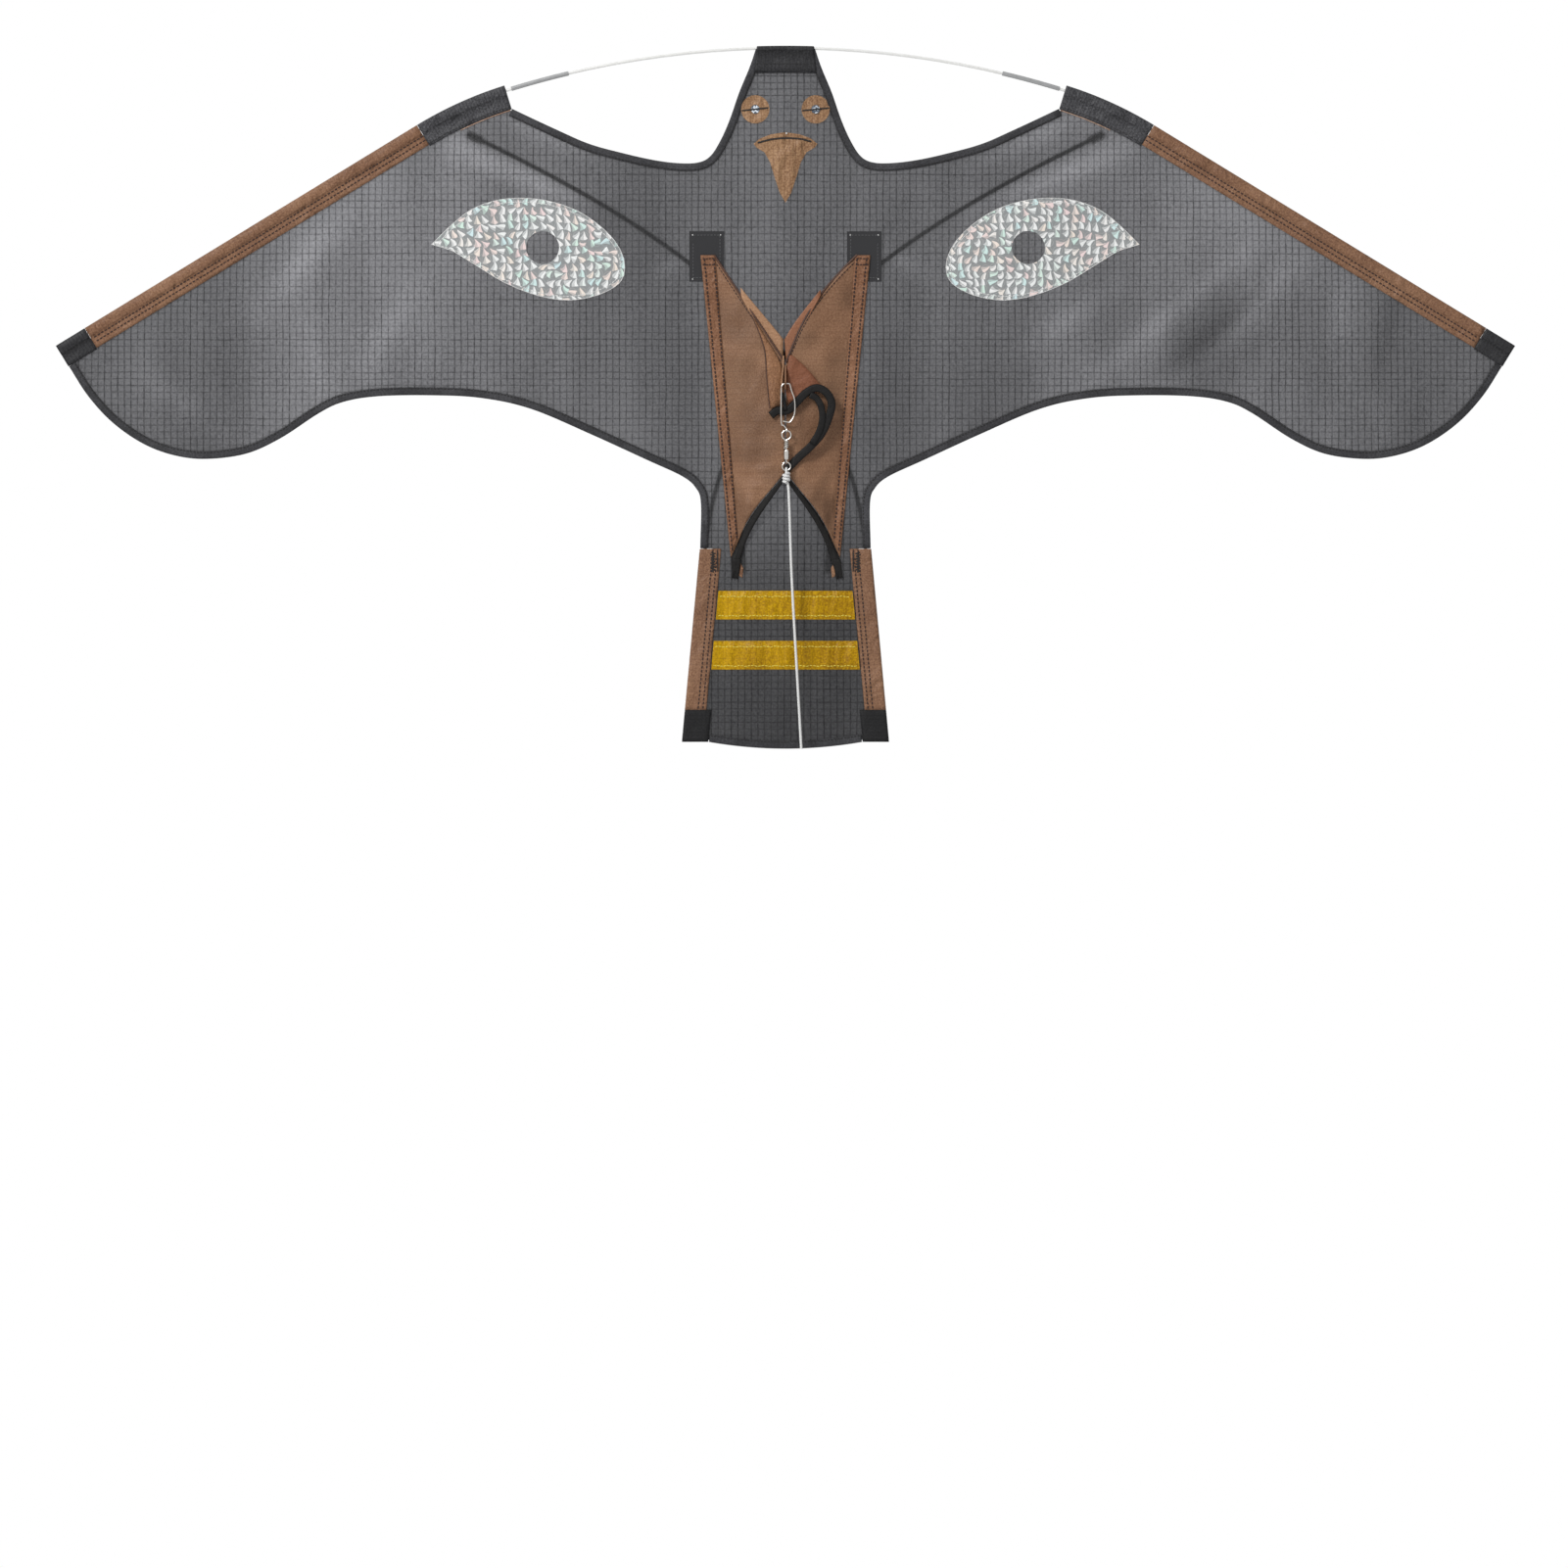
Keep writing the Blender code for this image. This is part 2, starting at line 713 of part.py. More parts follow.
# Crossed rods
def rod_end():
    """Where a crossed rod enters its tail sleeve, and the way it points there."""
    top = tail_line(TAIL_TUBE_W / 2, TAIL_TOP_Z)
    ahead = (tail_line(TAIL_TUBE_W / 2, TAIL_FOOT_Z) - top).normalized()
    return top, ahead


def rod_path(parts):
    """A crossed rod from the left shoulder to the right foot, in X and Z with its share."""
    foot, ahead = rod_end()
    slope = Vector((math.cos(ROD_TOP_SLOPE), -math.sin(ROD_TOP_SLOPE)))
    a = Vector((-ROD_TOP_X, ROD_TOP_Z))
    b = a + slope * ROD_TOP_PULL
    c = foot - ahead * ROD_FOOT_PULL
    found = []
    for i in range(parts + 1):
        t = i / parts
        place = a * (1 - t) ** 3 + b * 3 * t * (1 - t) ** 2 + c * 3 * t**2 * (1 - t) + foot * t**3
        found.append((place, t))
    return found


def make_crossed_rods():
    """Two bowed rods that lie on the back of the sail. The second humps over the first."""
    foot = tail_line(TAIL_TUBE_W / 2, TAIL_FOOT_Z + ROD_END_GAP)
    path = rod_path(40)
    crossing = min(path, key=lambda step: abs(step[0].x))[1]
    lie = SAIL_T / 2 + GAP + ROD_R
    for side, sign, over in (("left", 1, 0.0), ("right", -1, 2 * ROD_R + GAP)):
        points = []
        for place, t in path:
            end = ROD_TOP_Y if t < 0.5 else ROD_FOOT_Y
            depth = lie + (end - lie) * abs(2 * t - 1) ** ROD_DIP_POWER
            depth += over * math.exp(-(((t - crossing) / ROD_HUMP_SHARE) ** 2))
            points.append(Vector((place.x, depth, place.y)))
        points.append(Vector((foot.x, ROD_FOOT_Y, foot.y)))
        wire(f"cross_rod_{side}", side_of(points, sign), ROD_R, WHITE_ROD)


def make_rod_caps():
    """A black plastic cap on the top end of each crossed rod, in a tab sewn to the sail."""
    bore = ROD_R + GAP
    outer = bore + CAP_WALL
    profile = [
        (0.0, CAP_FLOOR),
        (outer, CAP_FLOOR),
        (outer, CAP_FLOOR - CAP_LENGTH),
        (bore, CAP_FLOOR - CAP_LENGTH),
        (bore, 0.0),
        (0.0, 0.0),
    ]
    for side, sign in SIDES:
        ahead = Vector((math.cos(ROD_TOP_SLOPE) * sign, 0, math.sin(ROD_TOP_SLOPE)))
        end = Vector((ROD_TOP_X * sign, ROD_TOP_Y, ROD_TOP_Z)) + ahead * GAP
        turned(f"rod_cap_{side}", profile, end, ahead, BLACK_PLASTIC, 12)
        reach = outer + GAP + CLOTH_T / 2
        low = ROD_TOP_Y - outer + CLOTH_T / 2
        over = [
            (-reach - TAB_FLANGE, low),
            (-reach, low),
            (-reach, ROD_TOP_Y),
            (-reach * 0.7, ROD_TOP_Y + reach * 0.7),
            (0.0, ROD_TOP_Y + reach),
            (reach * 0.7, ROD_TOP_Y + reach * 0.7),
            (reach, ROD_TOP_Y),
            (reach, low),
            (reach + TAB_FLANGE, low),
        ]
        across = Vector((-ahead.z, ahead.x))
        stations = []
        for along in (CAP_FLOOR + GAP, CAP_FLOOR + GAP - TAB_LENGTH):
            place = Vector((end.x + ahead.x * along, end.z + ahead.z * along))
            stations.append((place, across, 0.0))
        folded(f"shoulder_tab_{side}", stations, over, BLACK_TAPE)


# Decoration on the front of the sail
def circle(x, z, radius, parts):
    """Points round a circle."""
    turn = 2 * math.pi / parts
    return [Vector((x + radius * math.cos(turn * i), z + radius * math.sin(turn * i))) for i in range(parts)]


def make_wing_eyes():
    """A leaf-shaped eye of silver film on each wing, open at the pupil."""
    points = [Vector((EYE_X + EYE_W * x, EYE_Z + EYE_H * z)) for x, z in EYE_SHARES]
    outline = smooth_path(points, 2)
    pupil = circle(PUPIL_X, PUPIL_Z, PUPIL_R, 24)
    for side, sign in SIDES:
        loops = [side_of(outline, sign), side_of(pupil, sign)]
        flat_piece(f"wing_eye_{side}", loops, -SAIL_T / 2 - GAP, FILM_T, SILVER_FILM)


def make_face():
    """Two brown eye discs with a sequin in each, and a tan beak."""
    face_y = -SAIL_T / 2 - GAP
    for side, sign in SIDES:
        disc = circle(HEAD_EYE_X * sign, HEAD_EYE_Z, HEAD_EYE_R, 24)
        hole = circle(HEAD_EYE_X * sign, HEAD_EYE_Z, HEAD_EYE_HOLE_R, 16)
        flat_piece(f"head_eye_{side}", [disc, hole], face_y, FILM_T, TAN_CLOTH)
        sequin = circle(HEAD_EYE_X * sign, HEAD_EYE_Z, SEQUIN_R, 12)
        flat_piece(f"sequin_{side}", [sequin], face_y, SEQUIN_T, SILVER_FILM)
    right = [Vector((x * BEAK_HALF, BEAK_TOP_Z + z * BEAK_LENGTH)) for x, z in BEAK_SHARES]
    left = [Vector((-p.x, p.y)) for p in reversed(right[1:-1])]
    flat_piece("beak", [right + left], face_y, FILM_T, TAN_CLOTH)


# Keel
KEEL_Y = -(SAIL_T / 2 + GAP + CLOTH_T + GAP + CLOTH_T / 2)


def arch_place(share):
    """The arch of the keel's foot, from the foot at share 0 to the ridge at 1."""
    path = smooth_path([(x, z) for x, z in ARCH_SHARES], 4)
    where = (1 - share) * (len(path) - 1)
    low = min(int(where), len(path) - 2)
    at = path[low].lerp(path[low + 1], where - low)
    x = RIDGE_HALF + (KEEL_FOOT_HALF - RIDGE_HALF) * at.x
    return Vector((x, ARCH_Z + (KEEL_FOOT_Z - ARCH_Z) * at.y))


def keel_depth(across, down):
    """How far the limp panel stands off the sail: over the patch, then on the sail itself."""
    patch_foot = (KEEL_TOP_Z - PATCH_TOP_Z + PATCH_H) / (KEEL_TOP_Z - KEEL_FOOT_Z)
    below = (down - patch_foot - PATCH_DROP_SHARE / 2) / PATCH_DROP_SHARE
    seam = -LAY + (KEEL_Y + LAY) * (1 - min(1.0, max(0.0, below)))
    if across <= KEEL_SEAM_SHARE:
        return seam
    rise = (across - KEEL_SEAM_SHARE) / (1 - KEEL_SEAM_SHARE)
    size = KEEL_DEPTH * (1 - (1 - ARCH_DEPTH_SHARE) * down)
    return seam - size * math.sin(math.pi / 2 * rise) ** 1.5


def keel_place(across, down):
    """A point of the right panel: across from the seam to the ridge, down from the vee."""
    seam = Vector((KEEL_TOP_HALF, KEEL_TOP_Z)).lerp(Vector((KEEL_FOOT_HALF, KEEL_FOOT_Z)), down)
    ridge = Vector((RIDGE_HALF, VEE_Z + (ARCH_Z - VEE_Z) * down))
    flat = KEEL_TOP_FLAT / (KEEL_TOP_HALF - RIDGE_HALF)
    fall = max(0.0, (across - flat) / (1 - flat))
    vee = Vector((KEEL_TOP_HALF + (RIDGE_HALF - KEEL_TOP_HALF) * across, KEEL_TOP_Z + (VEE_Z - KEEL_TOP_Z) * fall))
    arch = arch_place(across)
    corner = Vector((KEEL_TOP_HALF, KEEL_TOP_Z)).lerp(Vector((RIDGE_HALF, VEE_Z)), across) * (1 - down)
    corner += Vector((KEEL_FOOT_HALF, KEEL_FOOT_Z)).lerp(Vector((RIDGE_HALF, ARCH_Z)), across) * down
    place = vee * (1 - down) + arch * down + seam * (1 - across) + ridge * across - corner
    return Vector((place.x, keel_depth(across, down), place.y))


def keel_row(down, parts, sign):
    """Points across one panel, from the seam to the ridge."""
    return side_of([keel_place(i / parts, down) for i in range(parts + 1)], sign)


def make_keel():
    """Two brown panels with black tape round the arch, and a black patch at each top corner."""
    length = ARCH_Z - KEEL_FOOT_Z
    end = 1 - BINDING_W / length
    for side, sign in SIDES:
        rows = [keel_row(end * i / 10, 9, sign) for i in range(11)]
        sewn_surface(f"keel_panel_{side}", rows, CLOTH_T, BROWN_CLOTH)
        inner = (PATCH_OUTER_X - PATCH_W) * sign
        outer = PATCH_OUTER_X * sign
        foot = PATCH_TOP_Z - PATCH_H
        patch = [(inner, foot), (outer, foot), (outer, PATCH_TOP_Z), (inner, PATCH_TOP_Z)]
        flat_piece(f"keel_patch_{side}", [patch], -SAIL_T / 2 - GAP, CLOTH_T, BLACK_TAPE)
    rows = []
    for down in (end + 2 * GAP / length, 1.0):
        right = keel_row(down, 14, 1)
        row = right + list(reversed(mirrored(right)))
        rows.append([point - Vector((0, (KEEL_BINDING_T - CLOTH_T) / 2, 0)) for point in row])
    sewn_surface("keel_binding", rows, KEEL_BINDING_T, BLACK_TAPE)


def traced(pixels):
    """Places in the photograph, in metres from the spar over the head."""
    return [Vector(((x - MIDDLE_PIXEL) * PIXEL, (SPAR_PIXEL - y) * PIXEL)) for x, y in pixels]


def make_nose():
    """The limp nose with its looping black tape, and the sewn tab that carries the snap."""
    back = keel_depth(1.0, 0.0) - CLOTH_T / 2 - GAP
    flat_piece("keel_nose", [traced(NOSE_FLAP_PIXELS)], back, CLOTH_T, BROWN_CLOTH)
    path = smooth_path(traced(NOSE_BAND_PIXELS), 3)
    half = BINDING_W / 2 - GAP
    band = setback(path, 1, half) + list(reversed(setback(path, -1, half)))
    front = back - CLOTH_T - GAP
    flat_piece("keel_nose_binding", [band], front, CLOTH_T, BLACK_TAPE)
    hole_z = SNAP_TOP_Z - SNAP_R - GAP + NOSE_HOLE_R
    tab = [
        (front, NOSE_TAB_TOP_Z),
        (front, NOSE_TAB_FOOT_Z),
        (LINE_Y, NOSE_TAB_FOOT_Z),
        (LINE_Y - NOSE_HOLE_R - NOSE_TAB_LIP / 2, hole_z - NOSE_HOLE_R),
        (LINE_Y - NOSE_HOLE_R - NOSE_TAB_LIP, hole_z),
        (LINE_Y - NOSE_HOLE_R, hole_z + NOSE_HOLE_R + NOSE_TAB_LIP),
    ]
    hole = circle(LINE_Y, hole_z, NOSE_HOLE_R, 16)
    piece = flat_piece("nose_tab", [tab, hole], 0.0, NOSE_TAB_T, BROWN_CLOTH)
    piece.location = (0, 0, 0)
    piece.rotation_euler = (math.pi / 2, 0, math.pi / 2)


# Snap, swivel and line
BOW_HINGE_X = NOSE_TAB_T / 2 + 3 * GAP


def upright(points, y=LINE_Y):
    """Points in X and Z, set at the depth of the line."""
    return [Vector((point[0], y, point[1])) for point in points]


def arc(centre, radius, start, end, parts):
    """Points on an arc, with its angles in degrees from +X towards +Z."""
    found = []
    for i in range(parts + 1):
        angle = math.radians(start + (end - start) * i / parts)
        found.append((centre[0] + radius * math.cos(angle), centre[1] + radius * math.sin(angle)))
    return found


def make_snap():
    """A wire snap: a leg through the nose with an eye at its foot, and a bow that springs open."""
    ring_top = TOP_RING_Z + TOP_RING_R
    eye_z = ring_top + SNAP_EYE_R - SNAP_R - RING_WIRE_R - GAP
    neck_z = eye_z + SNAP_EYE_R
    corner = SNAP_TOP_Z - SNAP_BEND
    leg = [(BOW_HINGE_X - GAP / 2, SNAP_TOP_Z), (0.0, SNAP_TOP_Z)]
    leg += [(-SNAP_BEND, SNAP_TOP_Z - SNAP_R), (SNAP_LEG_X + SNAP_R / 2, corner - SNAP_R)]
    leg += [(SNAP_LEG_X, corner - SNAP_BEND), (SNAP_LEG_X, SNAP_FOOT_Z)]
    leg += [(SNAP_LEG_X / 2, (SNAP_FOOT_Z + neck_z) / 2), (LINE_X, neck_z)]
    points = smooth_path(upright(leg), 3)
    for y, z in arc((LINE_Y, eye_z), SNAP_EYE_R, 75, -235, 12):
        points.append(Vector((LINE_X, y, z)))
    wire("snap_leg", points, SNAP_R, NICKEL_WIRE)
    bow = [(BOW_HINGE_X + GAP / 2, SNAP_TOP_Z), (BOW_HINGE_X + SNAP_BEND, SNAP_TOP_Z - SNAP_R)]
    bow += [((SNAP_BOW_X + BOW_HINGE_X) / 2 + SNAP_R, (SNAP_TOP_Z + BOW_TOP_Z) / 2 + SNAP_R)]
    bow += [(SNAP_BOW_X, BOW_TOP_Z), (SNAP_BOW_X, BOW_LOW_Z)]
    bow += [((SNAP_BOW_X + LINE_X) / 2, SNAP_FOOT_Z), (LINE_X, SNAP_FOOT_Z)]
    bow += [(SNAP_LEG_X + 2 * SNAP_R + GAP, SNAP_FOOT_Z + SNAP_R)]
    wire("snap_bow", smooth_path(upright(bow), 3), SNAP_R, NICKEL_WIRE)


def make_swivel():
    """A barrel swivel: a wire ring turns in each end, and the upper one is wound on its neck."""
    wind_r = 2 * RING_WIRE_R + WIND_GAP
    pitch = 2 * RING_WIRE_R + WIND_GAP
    open_angle = math.degrees(math.asin(wind_r / TOP_RING_R))
    points = upright([(LINE_X, BARREL_TOP_Z - CORE_SINK), (LINE_X, TOP_RING_Z - TOP_RING_R - RING_WIRE_R)])
    points += upright(arc((LINE_X, TOP_RING_Z), TOP_RING_R, -80, 270 - open_angle, 20))
    start_z = points[-1].z - RING_WIRE_R * 2
    steps = 9 * WRAPS
    for i in range(steps + 1):
        turn = math.pi + 2 * math.pi * i / 9
        x = LINE_X + wind_r * math.cos(turn)
        points.append(Vector((x, LINE_Y + wind_r * math.sin(turn), start_z - pitch * i / 9)))
    wire("swivel_upper", points, RING_WIRE_R, NICKEL_WIRE)
    print("wound neck ends at", round(points[-1].z - RING_WIRE_R, 5), "over the barrel at", BARREL_TOP_Z)
    bore = RING_WIRE_R + GAP
    foot = -BARREL_LENGTH
    deep = CORE_SINK + GAP
    profile = [
        (0.0, -deep),
        (bore, -deep),
        (bore, 0.0),
        (BARREL_NECK_R, 0.0),
        (BARREL_R, -BARREL_ROUND),
        (BARREL_R, foot + BARREL_ROUND),
        (BARREL_NECK_R, foot),
        (bore, foot),
        (bore, foot + deep),
        (0.0, foot + deep),
    ]
    turned("swivel_barrel", profile, (LINE_X, LINE_Y, BARREL_TOP_Z), (0, 0, 1), NICKEL_WIRE, 16)
    low = upright([(LINE_X, BARREL_TOP_Z - BARREL_LENGTH + CORE_SINK)])
    low += upright([(LINE_X, LOW_RING_Z + LOW_RING_R + RING_WIRE_R / 2)])
    close = math.degrees((2 * RING_WIRE_R + WIND_GAP) / LOW_RING_R)
    low += upright(arc((LINE_X, LOW_RING_Z), LOW_RING_R, 82, close - 270, 20))
    wire("swivel_lower", low, RING_WIRE_R, NICKEL_WIRE)


def make_line():
    """White braided line, tied to the lower ring with its end wound round it."""
    ring_foot = LOW_RING_Z - LOW_RING_R
    wind_r = 2 * LINE_R + GAP
    pitch = 2 * LINE_R + WIND_GAP
    top = ring_foot - RING_WIRE_R - GAP
    loop_r = RING_WIRE_R + GAP + LINE_R
    knot = []
    for y, z in arc((LINE_Y, ring_foot), loop_r, 0, 180, 8):
        knot.append(Vector((LINE_X, y, z)))
    start = Vector((LINE_X, LINE_Y - wind_r, top - LINE_R))
    knot.append((knot[-1] + start) / 2)
    for i in range(10 * KNOT_TURNS + 1):
        turn = -math.pi / 2 + 2 * math.pi * i / 10
        x = LINE_X + wind_r * math.cos(turn)
        knot.append(Vector((x, LINE_Y + wind_r * math.sin(turn), start.z - pitch * i / 10)))
    wire("line_knot", knot, LINE_R, WHITE_LINE)
    route = [(LINE_X, top), (LINE_X, (top + knot[-1].z) / 2), (LINE_X, knot[-1].z)]
    route += [(LINE_TURN_X, LINE_TURN_Z - LINE_TURN_X)]
    third_x = (LINE_END_X - LINE_TURN_X) / 3
    third_z = (LINE_END_Z - LINE_TURN_Z) / 3
    route += [(LINE_TURN_X + third_x - LINE_SAG, LINE_TURN_Z + third_z)]
    route += [(LINE_END_X - third_x - LINE_SAG / 2, LINE_END_Z - third_z), (LINE_END_X, LINE_END_Z)]
    wire("line", smooth_path(upright(route), 8), LINE_R, WHITE_LINE)


make_spar()
make_leading_edge()
make_head_pocket()
make_sail()
make_bindings()
make_tail()
make_crossed_rods()
make_rod_caps()
make_wing_eyes()
make_face()
make_keel()
make_nose()
make_snap()
make_swivel()
make_line()
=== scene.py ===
"""Bird scarer kite: a hawk of grey ripstop with film eyes, glass-fibre rods, a limp keel and its line."""

import math

import bmesh
import bpy
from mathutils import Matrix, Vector, noise
from mathutils.bvhtree import BVHTree


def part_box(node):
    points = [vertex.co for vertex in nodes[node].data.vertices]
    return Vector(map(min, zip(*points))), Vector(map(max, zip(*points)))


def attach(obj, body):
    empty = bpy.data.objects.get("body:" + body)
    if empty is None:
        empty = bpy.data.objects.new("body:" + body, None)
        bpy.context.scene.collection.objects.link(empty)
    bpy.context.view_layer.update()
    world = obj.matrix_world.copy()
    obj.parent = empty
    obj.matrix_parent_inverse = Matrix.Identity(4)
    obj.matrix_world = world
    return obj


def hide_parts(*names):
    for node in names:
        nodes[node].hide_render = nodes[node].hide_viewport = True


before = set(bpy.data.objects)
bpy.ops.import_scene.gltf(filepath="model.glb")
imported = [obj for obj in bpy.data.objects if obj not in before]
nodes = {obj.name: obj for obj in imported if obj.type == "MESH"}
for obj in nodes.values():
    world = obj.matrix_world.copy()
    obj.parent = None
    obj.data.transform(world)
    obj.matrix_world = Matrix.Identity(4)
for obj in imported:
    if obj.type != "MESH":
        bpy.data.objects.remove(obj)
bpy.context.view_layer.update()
bpy.ops.object.select_all(action="DESELECT")

# Studio
# A product table: the kite hangs flat in front of a long lens, in even daylight from two
# large soft boxes, with a white ground all round it. The frame is 1.4025 m wide.
frame_width = 1.4025
lens = 200.0
sensor = 36.0
bpy.ops.object.camera_add(location=(-0.0013, -frame_width * lens / sensor, -0.6583))
camera = bpy.context.object
camera.rotation_euler = (math.radians(90), 0, 0)
camera.data.lens = lens
camera.data.sensor_width = sensor
camera.data.clip_end = 100
bpy.context.scene.camera = camera
bpy.context.scene.view_settings.view_transform = "Standard"

for place, power, size in (((-3.4, -4.8, 3.4), 300, 1.8), ((-0.85, 3.2, 0.2), 43, 0.9)):
    bpy.ops.object.light_add(type="AREA", location=place)
    box = bpy.context.object
    box.data.energy = power
    box.data.size = size
    box.visible_camera = False
    box.rotation_euler = (Vector((0, 0, -0.3)) - Vector(place)).to_track_quat("-Z", "Y").to_euler()


def add_node(tree, kind, inputs=None, **choices):
    """Adds a node with its choices made and its inputs set to values or joined to sockets."""
    made = tree.nodes.new(kind)
    for name, value in choices.items():
        setattr(made, name, value)
    for name, value in (inputs or {}).items():
        if isinstance(value, bpy.types.NodeSocket):
            tree.links.new(value, made.inputs[name])
        else:
            made.inputs[name].default_value = value
    return made


def reckon(tree, operation, a, b=0.0, c=0.0):
    """A Math node's result."""
    return add_node(tree, "ShaderNodeMath", {0: a, 1: b, 2: c}, operation=operation).outputs[0]


def white_when_seen(tree):
    """1 for the rays that show the ground as pure white, and 0 for those that light the kite."""
    path = add_node(tree, "ShaderNodeLightPath").outputs
    seen = reckon(tree, "MAXIMUM", path["Is Camera Ray"], path["Is Glossy Ray"])
    return reckon(tree, "MAXIMUM", seen, path["Is Transmission Ray"])


world = bpy.data.worlds.new("daylight")
bpy.context.scene.world = world
world.use_nodes = True
sky = world.node_tree
sky.nodes.clear()
ambient = 0.30
level = reckon(sky, "MULTIPLY_ADD", white_when_seen(sky), 1.0 - ambient, ambient)
ground = add_node(sky, "ShaderNodeBackground", {"Color": (1, 1, 1, 1), "Strength": level})
add_node(sky, "ShaderNodeOutputWorld", {"Surface": ground.outputs[0]})

bpy.ops.mesh.primitive_plane_add(size=30, location=(0, 0, -1.60))
floor = bpy.context.object
floor.name = "studio_floor"
paper = bpy.data.materials.new("white paper")
paper.use_nodes = True
tree = paper.node_tree
tree.nodes.clear()
glow = add_node(tree, "ShaderNodeEmission", {"Color": (1, 1, 1, 1), "Strength": 1.0})
matt = add_node(tree, "ShaderNodeBsdfDiffuse", {"Color": (0.8, 0.8, 0.8, 1)})
mixed = {0: white_when_seen(tree), 1: matt.outputs[0], 2: glow.outputs[0]}
mixed = add_node(tree, "ShaderNodeMixShader", mixed)
add_node(tree, "ShaderNodeOutputMaterial", {"Surface": mixed.outputs[0]})
floor.data.materials.append(paper)

# Line
# White braided polyester line, 2.3 mm thick and about 0.25 m long, cut bare at its end. It is
# tied to the lower ring of the swivel, with its short end wound three times round it.
line_r = 0.00115
line_x, line_y = 0.0008, -0.0180
ring_wire = 0.0006
low_ring_z = -0.3749
low_ring_r = 0.0037
seat = 0.0003


def linear(red, green, blue):
    """A cloth's colour as it looks in daylight, from 0 to 255, as the shader takes it."""
    return (*[(part / 255) ** 2.2 for part in (red, green, blue)], 1.0)


def through(points, steps):
    """A smooth curve through the points, with a number of steps between each two."""
    points = [Vector(point) for point in points]
    knots = [2 * points[0] - points[1], *points, 2 * points[-1] - points[-2]]
    path = []
    for i in range(1, len(knots) - 2):
        a, b, c, d = knots[i - 1 : i + 3]
        for t in [step / steps for step in range(steps)]:
            path.append((2 * b + (c - a) * t + (2 * a - 5 * b + 4 * c - d) * t**2) / 2)
            path[-1] += (3 * b - a - 3 * c + d) * t**3 / 2
    return path + [knots[-2]]


def new_piece(name, data):
    """A new object in the scene, made of a mesh or a curve."""
    piece = bpy.data.objects.new(name, data)
    bpy.context.scene.collection.objects.link(piece)
    return piece


def belong(piece, body="kite"):
    """Gives a piece the body that it moves with."""
    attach(piece, body)
    return piece


def round_wire(name, points, radius, material, body="kite", sides=2):
    """A round wire or cord along points, as a curve with closed ends."""
    curve = bpy.data.curves.new(name, "CURVE")
    curve.dimensions = "3D"
    curve.bevel_depth = radius
    curve.bevel_resolution = sides
    curve.use_fill_caps = True
    spline = curve.splines.new("POLY")
    spline.points.add(len(points) - 1)
    for point, place in zip(spline.points, points):
        point.co = (*place, 1)
    curve.materials.append(material)
    return belong(new_piece(name, curve), body)


def new_finish(name, **values):
    """A material with its Principled shader, the values that are the same all over set on it."""
    made = bpy.data.materials.new(name)
    made.use_nodes = True
    shader = made.node_tree.nodes["Principled BSDF"]
    for socket, value in values.items():
        shader.inputs[socket.replace("_", " ")].default_value = value
    return made, made.node_tree, shader


def blend(tree, factor, first, second, how="MIX"):
    """Two colours mixed by a factor."""
    inputs = {0: factor, 6: first, 7: second}
    return add_node(tree, "ShaderNodeMix", inputs, data_type="RGBA", blend_type=how).outputs[2]


def object_place(tree):
    """The place on a piece, in metres."""
    return add_node(tree, "ShaderNodeTexCoord").outputs["Object"]


def noise_at(tree, where, scale, detail, output="Fac", distortion=0.0):
    """Smooth noise at a place, as a level or as a colour."""
    inputs = {"Vector": where, "Scale": scale, "Detail": detail, "Distortion": distortion}
    return add_node(tree, "ShaderNodeTexNoise", inputs).outputs[output]


def mottled(name, dark, light, scale, detail, **values):
    """A finish whose colour changes softly between two tones."""
    made, tree, shader = new_finish(name, **values)
    grain = noise_at(tree, object_place(tree), scale, detail)
    tree.links.new(blend(tree, grain, dark, light), shader.inputs["Base Color"])
    return made, tree, shader, grain


def thread_of(name, colour, roughness):
    """The finish of a thread or a small moulding: one colour, with faint changes of its tone."""
    dark, light = [linear(*[min(255, part * share) for part in colour]) for share in (0.86, 1.13)]
    return mottled(name, dark, light, 420.0, 2.0, Roughness=roughness)[0]


braid, tree, shader = new_finish("white braided polyester", Roughness=0.8, Sheen_Weight=0.3)
plait = {"Vector": object_place(tree), "Scale": 260.0, "Distortion": 2.0}
plait = add_node(tree, "ShaderNodeTexWave", plait, bands_direction="DIAGONAL").outputs["Fac"]
tint = blend(tree, plait, (0.84, 0.84, 0.83, 1), (0.98, 0.98, 0.97, 1))
tree.links.new(tint, shader.inputs["Base Color"])
bump = add_node(tree, "ShaderNodeBump", {"Height": plait, "Distance": 0.0003})
tree.links.new(bump.outputs[0], shader.inputs["Normal"])

ring_foot = low_ring_z - low_ring_r
line_top = ring_foot - ring_wire - seat
wind_r = 2 * line_r + seat
knot_pitch = 2 * line_r + 0.00045
knot_turns = 3
turn_steps = 14
reach = ring_wire + seat + line_r
knot = []
for i in range(9):
    turn = math.pi * i / 8
    knot.append(Vector((line_x, line_y + reach * math.cos(turn), ring_foot + reach * math.sin(turn))))
wound_from = Vector((line_x, line_y - wind_r, line_top - line_r))
knot.append((knot[-1] + wound_from) / 2)
for i in range(turn_steps * knot_turns + 1):
    turn = -math.pi / 2 + 2 * math.pi * i / turn_steps
    x, y = line_x + wind_r * math.cos(turn), line_y + wind_r * math.sin(turn)
    knot.append(Vector((x, y, wound_from.z - knot_pitch * i / turn_steps)))
tied = round_wire("line_knot_wound", knot, line_r, braid, "line_end", 4)
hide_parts("line_knot")

